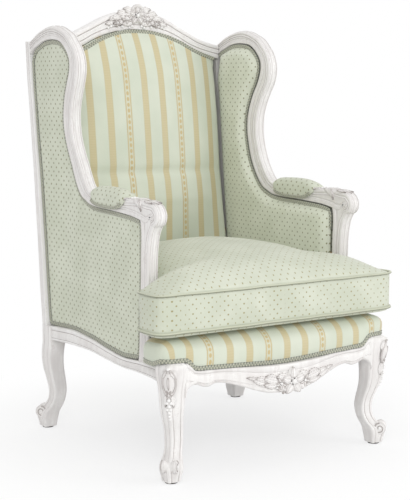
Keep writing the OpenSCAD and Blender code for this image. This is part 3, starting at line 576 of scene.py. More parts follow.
def spreadShape(shape):
    return spread(shape[0]), shape[1]


# half of the section: how far in from its side face, and how deep from the front or from the panel's edge
frontHalf = [(16.0, -1.2), (13.4, -1.0), (11.7, -0.3), (10.7, 1.2), (9.7, 2.9), (8.7, 3.3), (7.7, 2.6),
             (6.8, 0.9), (5.6, 0.2), (4.2, 0.4), (2.4, 1.2), (0.9, 3.0), (0.0, 5.8), (0.0, 9.0), (0.8, 10.2),
             (2.3, 11.2), (2.8, 12.3), (2.3, 13.4), (0.8, 14.4), (0.0, 15.6), (0.2, 17.0)]
panelHalf = [(0.4, 16.2), (2.0, 15.0), (2.7, 13.8), (2.2, 12.6), (0.8, 11.4), (0.3, 9.8), (0.3, 3.0),
             (0.8, 1.0), (2.6, 0.0), (9.0, 0.0)]


fullDepth = 37  # shallower places have their grooves closer together


def mouldedSection(width, depth):
    fit = min(1, depth / fullDepth)
    half = [(gap if gap < 14 else width / 2, deep * fit) for gap, deep in frontHalf]
    half.append((1.3, (frontHalf[-1][1] * fit + depth - panelHalf[0][1] * fit) / 2))
    half += [(gap, depth - deep * fit) for gap, deep in panelHalf]
    outer = [(width - gap, deep) for gap, deep in half]
    inner = [(gap, deep) for gap, deep in half[:0:-1]]
    return inner + outer


def mouldedRing(a, b, width, put):
    # the section from a to b, two places in one plane; put gives the point in space
    a, b = np.asarray(a, float), np.asarray(b, float)
    depth = np.linalg.norm(b - a)
    away = (b - a) / depth
    return [put(across, *(a + away * d)) for across, d in mouldedSection(width, depth)]


def sideRing(a, b, thin=0.0):
    first, width = side["inner"] + thin, side["outer"] - side["inner"] - 2 * thin
    return mouldedRing(a, b, width, lambda across, y, z: (first + across, y, z))


perStation = 7
whole = smoothLine(wingStations + armStations[1:], perStation)
split = (len(wingStations) - 1) * perStation
wingShape, armShape = (sweep([sideRing(s[:2], s[2:]) for s in part])
                       for part in (whole[:split + 1], whole[split:]))
postShape = sweep([sideRing((s[1], s[0]), (s[2], s[0]), 0.5) for s in smoothLine(postStations, 6)][::-1])
for name, shape, node in (("wingRail", wingShape, "wing_rail"), ("armRail", armShape, "arm_rail"),
                          ("armPost", postShape, "arm_post")):
    leftAndRight(name, spreadShape(shape), "painted_wood", [node], carved=1)
print("side frame made")


# crest rail

crest = {"front": 344.0, "thick": 45.0}
crestStations = [
    [0, 1150, 0, 1099], [46, 1147, 42, 1097], [82, 1138, 74, 1091], [112, 1126, 106, 1082],
    [144, 1110, 139, 1069], [176, 1095, 172, 1052], [210, 1079, 209, 1038], [248, 1067, 247, 1028],
    [284, 1060, 284, 1020]]
crestWhole = smoothLine([[-s[0], s[1], -s[2], s[3]] for s in crestStations[:0:-1]] + crestStations, 6)


crestRings = [mouldedRing(s[:2], s[2:], crest["thick"], lambda across, x, z: (x, crest["front"] + across, z))
              for s in crestWhole]
makePiece("crestRail", sweep([ring[::-1] for ring in crestRings]), "painted_wood", ["crest_rail"], carved=1)


# legs

def facedRing(x, y, z, wide, moulded):
    # square with rounded corners; each face has two grooves when moulded
    half = [(0.34, 0.0), (0.43, 1.5), (0.50, 2.2), (0.56, 1.7), (0.64, 0.2), (0.76, 0.2), (0.86, 0.9)]
    groove = [(-t, sink) for t, sink in half[::-1]] + [(0.0, -0.9)] + half
    flat = [(g[0], g[1] if abs(g[0]) > 0.7 else 0.0) for g in groove]
    ring = []
    for k, on in enumerate(moulded):
        turn = k * math.pi / 2
        normal = (math.cos(turn), math.sin(turn))
        along = (-normal[1], normal[0])
        for t, sink in (groove if on else flat):
            a, b = wide * t, wide - sink
            ring.append((x + along[0] * a + normal[0] * b, y + along[1] * a + normal[1] * b, z))
        ring.append((x + (normal[0] + along[0]) * wide * 0.91, y + (normal[1] + along[1]) * wide * 0.91, z))
    return ring


def legShape(leg, way, moulded, top=()):
    # top holds the heights that the last station goes on to
    (x, y), rows = leg["foot"], smoothLine(leg["stations"], 6).tolist()
    rows += [[z, *rows[-1][1:]] for z in top]
    rings = []
    for z, reach, half in rows:
        d = reach * math.sqrt(0.5)
        rings.append(facedRing(x + d, y + way * d, z, half, moulded))
    return sweep(rings)


def spiral(centre, normal, along, size, turns=1.6, radius=1.9):
    # raised scroll line on a face of the toe
    n, a = unit(normal), unit(along)
    b = np.cross(n, a)
    t = np.linspace(0, 1, 60)
    r = size * (1 - t * 0.85)
    turn = t * turns * 2 * math.pi
    line = np.asarray(centre) + a * (r * np.cos(turn))[:, None] + b * (r * np.sin(turn))[:, None]
    return tube(line, radius * (1 - t * 0.4), 8)


# a toe is how far it stands out, its height, radius and half width; a station is height, reach and half width
frontLeg = {"foot": (319, -332), "toe": (11.8, 43, 16.4, 18.5), "stations": [
    [4, 0, 18.2], [16, 0, 19.8], [30, 0.5, 22.4], [42, -2, 22.6], [52, -9, 20.6], [63, -18.5, 18.4],
    [80, -26.5, 17.4], [100, -29, 18], [122, -26, 18.5], [145, -18.5, 20.2], [165, -13, 22],
    [185, -10.5, 23.6], [205, -10, 24.6], [220, -10.2, 25.4], [235, -10.2, 27], [252, -9.9, 29.2],
    [268, -9.7, 30.6], [279, -9.7, 30.2], [286, -9.8, 27.6], [290.6, -9.9, 22]]}
backLeg = {"foot": (320, 302), "toe": (9.6, 46, 17.2, 19), "stations": [
    [4, 0, 18.8], [16, 0, 20.4], [30, 0.5, 23.2], [42, -2, 23.4], [53, -9, 22], [66, -19, 20], [85, -27, 19],
    [110, -29, 20], [140, -24, 21.5], [170, -18, 23], [200, -16, 24], [225, -18, 24.5], [240, -20.5, 25]]}


def rolledToe(leg, way):
    # a short roll across the leg's diagonal, with a spiral on both ends
    (x, y), (out, high, radius, half) = leg["foot"], leg["toe"]
    c = np.array([x + out, y + way * out, high], float)
    n = np.array([math.sqrt(0.5), way * math.sqrt(0.5), 0])
    t, up = np.array([-n[1], n[0], 0]), np.array([0, 0, 1.0])
    turn = np.linspace(0, 2 * math.pi, 28, endpoint=False)[:, None]
    profile = ((-1, 0.80), (-0.96, 0.94), (-0.8, 1.0), (-0.62, 0.98), (-0.5, 0.8), (-0.2, 0.66))
    profile += ((0, 0.6),) + tuple((-a, r) for a, r in profile[::-1])
    shapes = [sweep([c + t * a * half + (n * np.cos(turn) + up * np.sin(turn)) * radius * r
                     for a, r in profile])]
    for end in (-t, t):
        shapes.append(spiral(c + end * (half - 0.2), end, up, radius * 0.86))
        shapes.append(ball(c + end * (half - 1), radius * 0.3))
    return shapes


bracket = {"size": 30.0, "sideLow": 238.5, "frontLow": 234.5}


def kneeBrackets():
    # hollow curves from the knee to the lower edges of the side rail and the apron
    size = bracket["size"]
    sideRings, frontRings = [], []
    for share in np.linspace(0, 1, 14) ** 1.3:
        drop = size - math.sqrt(size ** 2 - (size * (1 - share)) ** 2)
        y, low = -303 + share * size, bracket["sideLow"] - drop
        face = 318.6 + table(sideRailStations, y, 3)
        sideRings.append([(298, y, 246), (298, y, low + 2), (300, y, low), (face - 4, y, low),
                          (face - 1, y, low + 2.4), (face, y, low + 6), (face, y, 246)])
        x, low = 290 - share * size, bracket["frontLow"] - drop
        frontRings.append([(x, -331, 243), (x, -331, low + 2), (x, -333, low), (x, -350, low),
                           (x, -352.6, low + 2.4), (x, -353.8, low + 6), (x, -353.8, 243)])
    return [facingOut(sweep(sideRings)), facingOut(sweep(frontRings))]


def stileRing(z, rear):
    # outer face with one groove; rounded rear corners
    x0, x1 = side["inner"], side["outer"] + side["postOut"]
    front = rear - 28
    return [(x0, front, z), (x1 - 0.6, front, z), (x1, front + 1, z), (x1, front + 9, z),
            (x1 - 1.6, front + 11, z), (x1, front + 13, z), (x1, rear - 6, z), (x1 - 2, rear - 1.6, z),
            (x1 - 6, rear, z), (x0 + 4, rear, z), (x0 + 1, rear - 1, z), (x0, rear - 4, z)]


frontLegShape = join([legShape(frontLeg, -1, (1, 0, 0, 1))] + rolledToe(frontLeg, -1) + kneeBrackets())
backLegShape = join([legShape(backLeg, 1, (1, 0, 0, 0), (262, 289))] + rolledToe(backLeg, 1)
                    + [sweep([stileRing(max(z, 255), rear) for z, rear in smoothLine(stileStations, 5)])])
leftAndRight("frontLeg", frontLegShape, "painted_wood", ["front_leg"], carved=1)
leftAndRight("backLeg", backLegShape, "painted_wood", ["back_leg"], carved=1)


# seat rails

apronStations = [
    [0, 186, 257, -371], [50, 190, 258, -371], [90, 200, 260, -370.5], [130, 214, 262, -364],
    [176, 228, 264, -356], [204, 231, 265, -354], [222, 225, 266, -354], [240, 227, 266, -354],
    [254, 233, 267, -354], [264, 234, 270, -354], [276, 235, 282, -353.5], [286, 235, 289.5, -353]]
# share of the height from the lower edge up, and how far the face stands in
railFace = [(0.00, 8.0), (0.00, 4.0), (0.03, 1.6), (0.07, 0.6), (0.12, 0.4), (0.16, 1.0), (0.185, 2.6),
            (0.21, 1.0), (0.25, 0.8), (0.45, 0.0), (0.62, 0.8), (0.70, 1.8), (0.735, 3.4), (0.77, 1.8),
            (0.80, 0.8), (0.92, 0.6), (0.97, 1.4), (1.00, 3.0)]


def railRing(low, edge, back, face, ledge, top, place):
    ring = [place(back, low + 2), place(back + 2, low)]
    for share, sink in railFace:
        ring.append(place(face - sink, low + (edge - low) * share))
    return ring + [place(ledge, edge), place(ledge, top), place(back, top)]


halfApron = smoothLine(apronStations, 6)
wholeApron = [[-s[0], s[1], s[2], s[3]] for s in halfApron[:0:-1]] + [list(s) for s in halfApron]
apronShape = sweep([railRing(low, edge, 305, -front, 336, 285, lambda d, z, x=x: (x, -d, z))
                    for x, low, edge, front in wholeApron])
makePiece("frontRail", apronShape, "painted_wood", ["front_seat_rail"], carved=1)

railShape = sweep([railRing(low, edge, 285, 319 + out, 302, edge + 12, lambda d, z, y=y: (d, y, z))
                   for y, low, edge, out in smoothLine(sideRailStations, 6)][::-1])
leftAndRight("sideRail", railShape, "painted_wood", ["side_seat_rail"], carved=1)
print("legs and rails made")


# upholstery outlines on the side

def sideOutline():
    top = [[357, 1010]] + [s[2:] for s in wingStations if s[2] < 350]
    top += [s[2:] for s in armStations if -190 < s[2] < 90]
    front = [[table(postStations, z, 2), z] for z in (600, 530, 470, 410, 350, 300)]
    foot = [[-178.5, 281], [-168, 269.5]] + [[s[0], s[2]] for s in sideRailStations if s[0] > -170]
    foot.append([283.5, 291])
    back = [[table(stileStations, z) - 28, z] for z in (320, 400, 495, 560, 700, 876, 960)]
    return top, front, foot, back


def inset(outline, d):
    p = np.asarray(outline, float)
    x, y = p[:, 0], p[:, 1]
    turn = 1 if (x * np.roll(y, -1) - np.roll(x, -1) * y).sum() > 0 else -1
    t = tangents(p, True)
    return p + turn * d * np.stack([-t[:, 1], t[:, 0]], 1)


def roundedOutline(points, spacing=6, soften=2):
    line = evenLine(points, spacing, True)
    for _ in range(soften):
        line = (line * 2 + np.roll(line, 1, 0) + np.roll(line, -1, 0)) / 4
    return evenLine(line, spacing, True)


def insideOf(outline, points):
    # which points lie inside a closed outline
    x, y = points[:, 0], points[:, 1]
    hit = np.zeros(len(points), bool)
    p = np.asarray(outline)
    q = np.roll(p, -1, 0)
    for (x1, y1), (x2, y2) in zip(p, q):
        cross = ((y1 > y) != (y2 > y))
        with np.errstate(divide="ignore", invalid="ignore"):
            at = (x2 - x1) * (y - y1) / (y2 - y1) + x1
        hit ^= cross & (x < at)
    return hit


def awayFrom(outline, points):
    # distance to an outline and the direction from it
    p = np.asarray(outline, float)
    best, way = np.full(len(points), 1e9), np.zeros((len(points), 2))
    for a, b in zip(p, np.roll(p, -1, 0)):
        d = b - a
        t = np.clip(((points - a) @ d) / max(d @ d, 1e-9), 0, 1)
        gap = points - a - t[:, None] * d
        far = np.linalg.norm(gap, axis=1)
        near = far < best
        best[near], way[near] = far[near], gap[near]
    return best, way / np.maximum(best, 0.5)[:, None]


def edgeDistance(outline, points):
    return awayFrom(outline, points)[0]


def outlineSheet(outline, spacing, lines=(), even=True):
    # even grid of points inside an outline, joined to its rim, as triangles
    rim = evenLine(outline, spacing, True) if even else outline
    low, high = rim.min(0), rim.max(0)
    xs = np.arange(low[0] + spacing / 2, high[0], spacing)
    ys = np.arange(low[1] + spacing / 2, high[1], spacing)
    grid = np.array([(x, y) for y in ys for x in xs])
    grid = grid[insideOf(rim, grid)]
    grid = grid[edgeDistance(rim, grid) > (lines[-1] if lines else 0) + spacing * 0.6]
    every = np.vstack([rim, grid] + [evenLine(inset(rim, d), spacing, True) for d in lines])
    edges = [(i, (i + 1) % len(rim)) for i in range(len(rim))]
    made = geometry.delaunay_2d_cdt([Vector(p) for p in every.tolist()], edges, [], 1, 1e-5)
    return np.array([(v.x, v.y) for v in made[0]]), [tuple(f) for f in made[2]]


def paddedSheet(outline, spacing, place, depth, lines=()):
    # front sheet over an outline with a rim that runs back by depth; place(flat, away) gives the points
    flat, faces = outlineSheet(outline, spacing, lines)
    away = edgeDistance(outline, flat)
    return closedSheet(place(flat, away), place(flat, away * 0 - depth), faces), np.vstack([flat, flat])


topLine, frontLine, footLine, backLine = sideOutline()
panelOutline = roundedOutline(topLine + frontLine + footLine + backLine)
padTop = [p for p in topLine if p[1] > 617 and p[1] != 1010]
padFoot = [[-180, 306], [283, 306]]
padOutline = roundedOutline(padTop + [p for p in frontLine if p[1] > 320] + padFoot
                            + [p for p in backLine if p[1] > 330])


outsidePad = {"stand": 7, "crown": 1.6, "soft": 30}


def outsidePlace(flat, away):
    rise = outsidePad["crown"] * (1 - np.exp(-np.maximum(away, 0) / outsidePad["soft"])) + np.minimum(away, 0)
    return spread(np.column_stack([side["panel"] + outsidePad["stand"] + rise, flat[:, 0], flat[:, 1]]))


panelShape, panelCloth = paddedSheet(inset(panelOutline, 0.9), 9, outsidePlace, 7)
for piece in leftAndRight("outsidePanel", panelShape, "dotted_silk", ["outside_panel"], cloth=panelCloth,
                          sharp=60):
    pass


insidePad = {"stand": 16.0, "crown": 5.0, "roll": 24, "soft": 60, "taken": 7}


def insidePlace(flat, away):
    a = np.maximum(away, 0)
    rise = insidePad["stand"] * (1 - (1 - np.clip(a / insidePad["roll"], 0, 1)) ** 2.0)
    rise += insidePad["crown"] * (1 - np.exp(-a / insidePad["soft"]))
    x = np.where(away < 0, side["inner"] + 5, side["inner"] + 1 - rise)
    return spread(np.column_stack([x, flat[:, 0], flat[:, 1]]))


padEdge = evenLine(inset(padOutline, 10.2), 7, True)
insideShape, insideCloth = paddedSheet(padEdge, 7, insidePlace, 4, (1.5, 4, 8, 13, 19))
far, way = awayFrom(padEdge, insideCloth)
# the cloth runs down the rolled edge, so its places spread outwards there
taken = np.clip(1 - far / insidePad["roll"], 0, 1) ** 1.7 * insidePad["taken"]
insideCloth = insideCloth - way * taken[:, None]
for piece in leftAndRight("insidePanel", turned(insideShape), "inside_silk", ["inside_panel"],
                          slot="dotted_silk", cloth=insideCloth, sharp=60):
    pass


def braidShape(line, normals, closed=False, width=None):
    # a ribbon with two rows of loops along a line, with one normal or one for each point
    width = width or braid["width"]
    line, normals = np.asarray(line, float), unit(np.broadcast_to(normals, np.shape(line)))
    s = lengths(line)
    t = tangents(line, closed)
    across = unit(np.cross(normals, t))
    wave = np.sin(s / braid["loop"] * 2 * math.pi)
    section = [(-0.5, 0.1), (-0.5, 0.55), (-0.36, 0.95), (-0.2, 1.0), (-0.05, 0.62), (0.05, 0.62),
               (0.2, 1.0), (0.36, 0.95), (0.5, 0.55), (0.5, 0.1)]
    rings, places = [], []
    for i in range(len(line)):
        ring = []
        for a, h in section:
            grow = 1 + 0.09 * wave[i] * (1 if a > 0 else -1) if abs(a) > 0.4 else 1
            high = braid["thick"] * h * (1 + 0.12 * wave[i] * (1 if a > 0 else -1))
            ring.append(line[i] + across[i] * a * width * grow + normals[i] * high)
            places.append((s[i], a * width))
        rings.append(ring)
    return sweep(rings, closed), places


outline = evenLine(inset(panelOutline, 1 + braid["width"] / 2), braid["step"], True)
at = np.column_stack([np.full(len(outline), side["panel"] + 7.0), outline])
shape, places = braidShape(at, (1, 0, 0), True)
leftAndRight("outsideBraid", spreadShape(shape), "braid", ["outside_gimp"], cloth=places)

# the inner braid stops behind the arm post and below the crest
run = evenLine(inset(padOutline, 1.4 + braid["width"] / 2), braid["step"], True)
first = int(np.argmin(np.linalg.norm(run - np.array([330, 1025]), axis=1)))
run = np.roll(run, -first, 0)
other = int(np.argmin(np.linalg.norm(run - np.array([-180, 560]), axis=1)))
around = run[:other] if run[5][0] < run[0][0] else run[other:][::-1]
at = np.column_stack([np.full(len(around), side["inner"] + 0.6), around])
shape, places = braidShape(at, (-1, 0, 0))
leftAndRight("insideBraid", spreadShape(shape), "braid", ["inside_gimp"], cloth=places)
print("side panels made")


# inside back

backProfile = [[330, 238], [420, 248], [508, 262], [600, 280], [700, 296], [781, 303], [860, 311],
               [943, 323], [1018, 336], [1099, 344]]
back = {"half": 265.0, "crown": 40.0, "edge": 18.0, "foot": 332.0, "roll": 15, "creaseAt": 700.0,
        "crease": 5.0, "creaseWide": 13, "gap": 1.2, "seatAt": 480, "seatSoft": 140, "headAt": 960,
        "headSoft": 139, "seatShare": 0.3}
crestEdge = smoothLine([[s[2], s[3]] for s in crestStations], 6)


def archTop(x, gap):
    # height below the crest rail's lower edge
    return np.interp(np.abs(x), crestEdge[:, 0], crestEdge[:, 1]) - gap


def backBulge(x, z):
    # fullest between the seat and the head, and flat at both sides
    u = np.clip(np.abs(x) / back["half"], 0, 1)
    share = back["seatShare"]
    low = share + (1 - share) * np.clip((z - back["seatAt"]) / back["seatSoft"], 0, 1)
    high = np.clip(1 - (np.maximum(z - back["headAt"], 0) / back["headSoft"]) ** 2, 0, 1)
    return back["crown"] * (1 - u ** 2.6) * low * high


def uprightSheet(x, front, rear, z):
    # a closed sheet from grids of places, and its cloth, which hangs flat
    sheets = [np.stack([x, y, z], 2).reshape(-1, 3) for y in (front, rear)]
    return closedSheet(*sheets, gridFaces(*x.shape)), np.vstack([sheet[:, [0, 2]] for sheet in sheets])


def insideBackShape(rows=90, columns=70):
    u, v = np.meshgrid(np.linspace(-1, 1, columns), np.linspace(0, 1, rows))
    x = u * (back["half"] - 4)
    z = back["foot"] + (archTop(x, back["gap"]) - back["foot"]) * v
    y = table(backProfile, z) - backBulge(x, z)
    y += back["roll"] * np.clip((np.abs(u) - 0.955) / 0.045, 0, 1) ** 2
    y += back["crease"] * np.exp(-((z - back["creaseAt"]) / back["creaseWide"]) ** 2) * (1 - np.abs(u) ** 4)
    rear = table(backProfile, z) + back["edge"] * np.where(z > 1000, 0.3, 1)
    return uprightSheet(x, y, rear, z)


shape, cloth = insideBackShape()
insideBack = makePiece("insideBack", shape, "striped_silk", ["inside_back"], cloth=cloth, sharp=70)

top = [p[0] for p in crestEdge if p[0] < back["half"] - 2]
line = evenLine([(x, archTop(x, 5.6)) for x in [-x for x in top[:0:-1]] + top], braid["step"])
at = np.column_stack([line[:, 0], table(backProfile, line[:, 1]) - backBulge(line[:, 0], line[:, 1]) - 0.3,
                      line[:, 1]])
shape, places = braidShape(at, (0, -1, 0.12))
makePiece("insideBackBraid", shape, "braid", ["inside_back_gimp"], cloth=places)


# outside back

outsideBack = {"foot": 286, "gap": 2, "sink": 2.6, "crown": 1.6, "soft": 40, "thick": 3.4}


def outsideBackShape(rows=60, columns=50):
    wide, foot = side["inner"] - 0.5, outsideBack["foot"]
    x, v = np.meshgrid(np.linspace(-wide, wide, columns), np.linspace(0, 1, rows))
    top = archTop(x, outsideBack["gap"])
    z = foot + (top - foot) * v
    rim = np.minimum(np.minimum(wide - np.abs(x), z - foot), top - z)
    y = table(stileStations, z) - outsideBack["sink"]
    y += outsideBack["crown"] * (1 - np.exp(-np.maximum(rim, 0) / outsideBack["soft"]))
    shape, cloth = uprightSheet(x, y, y - outsideBack["thick"], z)
    return turned(shape), cloth


shape, cloth = outsideBackShape()
makePiece("outsideBack", shape, "dotted_silk", ["outside_back"], cloth=cloth, sharp=70)
edge, heights = side["inner"] - 6, (293, 400, 600, 800, 1000)
line = [(-edge, z) for z in heights] + [(-edge, archTop(edge, 10))]
line += [(x, archTop(x, 8.5)) for x in np.linspace(-edge + 6, edge - 6, 60)]
line += [(edge, archTop(edge, 10))] + [(edge, z) for z in heights[::-1]]
line = evenLine(roundedOutline(line, 3, 2), braid["step"], True)
at = np.column_stack([line[:, 0], table(stileStations, line[:, 1]) - 2.4, line[:, 1]])
shape, places = braidShape(at, (0, 1, 0), True)
makePiece("outsideBackBraid", shape, "braid", ["outside_back_gimp"], cloth=places)
print("back made")


# seat deck

deckHalf = [[0, -354], [120, -352], [230, -348], [300, -343], [332, -335], [343, -318], [343, -282],
            [340, -256], [330, -237], [306, -232], [286, -231], [283, -222], [282.5, -194], [270, -172],
            [264, -140], [264, -60], [264, 80], [262, 180], [250, 214], [190, 220], [90, 221], [0, 221]]
cushionHalf = [[0, -361], [120, -360], [240, -358], [322, -357.5], [347, -353.5], [362, -344], [369.5, -327],
               [370, -290], [366, -258], [352, -240], [318, -232], [289, -230], [278, -219],
               [273, -190], [262, -158], [262, -80], [262, 40], [260, 140], [254, 196],
               [228, 212], [180, 215], [90, 216], [0, 216]]
# rows are how far in from the outline and how high; the dome goes on inside the last one
deck = {"foot": 291.0, "top": 355.8, "earDrop": 11, "blend": 60, "under": 9, "underUp": 3, "shift": 19,
        "earAt": 300, "earTurn": 0.45,
        "rows": [(-2.6, 298), (-4.4, 306), (-4.8, 315), (-3.8, 324), (-0.2, 331), (6.5, 336.5)],
        "domeIn": [0, 9.5, 26.5, 49.5, 73.5], "domeUp": [336.5, 341, 346, 350.5, 352]}


def bothHalves(half):
    return half + [[-p[0], p[1]] for p in half[-2:0:-1]]


def earDrop(y):
    return deck["earDrop"] * np.clip((y + 325) / 28, 0, 1)


def deckHeight(base, z):
    return base + (z - deck["foot"]) * (deck["top"] - base) / (deck["top"] - deck["foot"])


def deckShape():
    outline = evenLine(smoothLine(bothHalves(deckHalf), 6, True), 6, True)
    across = np.abs(outline[:, 0])
    apron = np.where(across > 286, deck["foot"], table(apronStations, across, 2) + 1)
    base = np.where(outline[:, 1] < -300, apron, deck["foot"]) - earDrop(outline[:, 1])
    rings = [np.column_stack([inset(outline, deck["under"]), base + deck["underUp"]]),
             np.column_stack([outline, base])]
    rings += [np.column_stack([inset(outline, draw), deckHeight(base, z)]) for draw, z in deck["rows"]]
    m, n = len(rings), len(outline)
    # the top is one domed sheet inside the last ring
    flat, top = outlineSheet(rings[-1][:, :2], 8, deck["domeIn"][1:2], even=False)
    inner = flat[n:]
    far = edgeDistance(flat[:n], inner)
    near = np.argmin(((inner[:, None] - flat[None, :n]) ** 2).sum(2), axis=1)
    share = np.clip(far / deck["blend"], 0, 1)
    height = deckHeight(base[near] * (1 - share) + deck["foot"] * share,
                        np.interp(far, deck["domeIn"], deck["domeUp"]))
    points = np.vstack(rings + [np.column_stack([inner, height])])
    faces = gridFaces(m, n, False, True) + [tuple(range(n - 1, -1, -1))]
    faces += [tuple(i + (m - 1) * n for i in f) for f in top]
    # the stripes run down the front and turn a little at the ears
    drop, along = 356 - points[:, 2], np.abs(points[:, 0])
    along = along + drop * deck["earTurn"] * np.clip((along - deck["earAt"]) / 40, 0, 1)
    sideways = np.where(points[:, 0] > 0, 1, -1) * along - deck["shift"]
    return (points, faces), np.column_stack([sideways, points[:, 1] - drop])


shape, cloth = deckShape()
makePiece("seatDeck", shape, "striped_silk", ["seat_deck"], cloth=cloth, sharp=70)

frontEdge = smoothLine(deckHalf, 6)[:8 * 6 + 1]
line = evenLine(np.vstack([(frontEdge * [-1, 1])[:0:-1], frontEdge]), braid["step"])
low = table(apronStations, np.abs(line[:, 0]), 2) + 0.8
climb = np.clip((np.abs(line[:, 0]) - 270) / 30, 0, 1)
height = low + climb * (deck["foot"] - low) + braid["width"] / 2 - earDrop(line[:, 1])
out = np.stack([tangents(line)[:, 1], -tangents(line)[:, 0]], 1)
at = np.column_stack([line + out * 2.6, height])
shape, places = braidShape(at, np.column_stack([out, np.zeros(len(out))]))
makePiece("deckBraid", shape, "braid", ["deck_gimp"], cloth=places)


# dust cover, tacked under the rails and sagging a little between its tacks

dust = {"sag": 5.5, "tacks": 11, "pucker": 0.8, "puckerReach": 22}


def dustCoverShape(columns=57, rows=57):
    low, high = (np.array(corner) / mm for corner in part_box("dust_cover"))
    u, v = np.meshgrid(np.linspace(0, 1, columns), np.linspace(0, 1, rows))
    edge = np.minimum(np.minimum(u, 1 - u), np.minimum(v, 1 - v)) * 550
    sag = dust["sag"] * 16 * u * (1 - u) * v * (1 - v)
    turn = 2 * math.pi * dust["tacks"]
    tacks = dust["pucker"] * np.cos(turn * u) * np.cos(turn * v) * np.exp(-edge / dust["puckerReach"])
    x, y = low[0] + (high[0] - low[0]) * u, low[1] + (high[1] - low[1]) * v
    # its sides follow the lower edges of the side rails
    lift = np.clip(table(sideRailStations, y) + 1.5 - low[2], 0, 17) * np.abs(2 * u - 1) ** 4
    lift *= np.clip(np.minimum(y + 300, 240 - y) / 90, 0, 1)
    under = np.stack([x, y, low[2] - sag + tacks + lift], 2).reshape(-1, 3)
    shape = closedSheet(under, under + [0, 0, high[2] - low[2]], gridFaces(rows, columns))
    return facingOut(shape), (high - low)[:2] * mm


shape, flat = dustCoverShape()
dustCover = makePiece("dustCover", shape, "black_cloth", ["dust_cover"], slot=slots["dust_cover"], sharp=60)
print("deck made")


# loose cushion

cushion = {"base": 359.0, "boxing": 84.0, "piping": 3.8, "crown": 80.0, "pressure": 4.0, "voxel": 5.5,
           "cap": 12.0, "frames": 20, "seam": 5.0, "half": 262, "earOut": 100, "earAt": -220, "earSoft": 40,
           "middle": -68, "halfDeep": 294, "sag": 12.5, "ease": 11, "pucker": 0.7, "puckerEvery": 13.0,
           "fold": 1.0, "foldEvery": 29.0, "wave": 1.2}
cushionLow = cushion["base"] + 2 * cushion["piping"]
cushionTop = cushionLow + cushion["boxing"] + 0.4
cushionOutline = smoothLine(bothHalves(cushionHalf), 5, True)
seamLine = inset(cushionOutline, cushion["seam"])


def seatBulge(p):
    # 1 in the middle and 0 along the seam, which runs further out at the ears
    ear = np.clip((cushion["earAt"] - p[:, 1]) / cushion["earSoft"], 0, 1)
    half = cushion["half"] + cushion["earOut"] * ear * ear * (3 - 2 * ear)
    u = np.clip(np.abs(p[:, 0]) / half, 0, 1)
    v = np.clip(np.abs(p[:, 1] - cushion["middle"]) / cushion["halfDeep"], 0, 1)
    return (1 - u ** 3.2) ** 0.8 * (1 - v ** 3.4) ** 0.8


def cushionShape():
    rim = evenLine(seamLine, 8, True)
    flat, faces = outlineSheet(rim, 9, (4,))
    top = np.column_stack([flat, cushionTop + 2 + seatBulge(flat) * cushion["crown"]])
    edge = edgeDistance(rim, flat)
    sag = cushion["sag"] * np.clip(edge / 5, 0, 1) * (1 - 0.5 * np.clip((edge - 22) / 30, 0, 1))
    return closedSheet(top, np.column_stack([flat, cushionLow - 2 - sag]), faces)


def puffed(name, shape, settings, hold):
    # remeshed copy blown up a little as cloth; hold(points) gives how firmly each point stays
    points, faces = shape
    mesh = bpy.data.meshes.new(name + "Rough")
    mesh.from_pydata((np.asarray(points) * mm).tolist(), [], faces)
    rough = bpy.data.objects.new(name + "Rough", mesh)
    scene = bpy.context.scene
    scene.collection.objects.link(rough)
    remesh = rough.modifiers.new("even", "REMESH")
    remesh.mode, remesh.voxel_size, remesh.use_smooth_shade = "VOXEL", settings["voxel"] * mm, True
    graph = bpy.context.evaluated_depsgraph_get()
    even = bpy.data.meshes.new_from_object(rough.evaluated_get(graph))
    rough.modifiers.clear()
    rough.data = even
    start = np.array([v.co for v in even.vertices]) / mm
    moved = start
    group = rough.vertex_groups.new(name="firm")
    for i, w in enumerate(np.clip(hold(start), 0, 1)):
        group.add([i], float(w), "REPLACE")
    cloth = rough.modifiers.new("puff", "CLOTH")
    for key, value in {"quality": 4, "mass": 0.25, "compression_stiffness": 12, "tension_stiffness": 12,
                       "shear_stiffness": 5, "bending_stiffness": 0.6, "use_pressure": True,
                       "uniform_pressure_force": settings["pressure"],
                       "vertex_group_mass": "firm"}.items():
        setattr(cloth.settings, key, value)
    cloth.settings.effector_weights.gravity = 0
    cloth.collision_settings.use_collision = False
    last = settings["frames"]
    scene.frame_start, scene.frame_end = 1, last
    cloth.point_cache.frame_start, cloth.point_cache.frame_end = 1, last
    for number in range(1, last + 1):
        scene.frame_set(number)
    graph = bpy.context.evaluated_depsgraph_get()
    blown = rough.evaluated_get(graph).to_mesh()
    step = np.array([v.co for v in blown.vertices]) / mm - start
    rough.evaluated_get(graph).to_mesh_clear()
    scene.frame_set(1)
    far = np.linalg.norm(step, axis=1, keepdims=True)
    moved = start + step * np.minimum(1, settings["cap"] / np.maximum(far, 1e-6))
    faces = [tuple(p.vertices) for p in even.polygons]
    bpy.data.objects.remove(rough)
    return moved, faces


def seamHold(points):
    # firm along both seams and over the whole underside
    d = edgeDistance(seamLine, points[:, :2])
    near = np.minimum(np.abs(points[:, 2] - cushionTop), np.abs(points[:, 2] - cushionLow))
    firm = 1 - np.clip((np.hypot(d, near) - 5) / 12, 0, 1)
    return np.where(points[:, 2] < cushionLow - 3, 1, firm)


rim = evenLine(inset(cushionOutline, 8.5), 4, True)
rimRun = lengths(np.vstack([rim, rim[:1]]))[:-1]
rimTree = kdtree.KDTree(len(rim))
for i, p in enumerate(rim):
    rimTree.insert((p[0], p[1], 0), i)
rimTree.balance()


def aroundAt(flat):
    # how far round the cushion each point lies
    return np.array([rimRun[rimTree.find((p[0], p[1], 0))[1]] for p in flat])


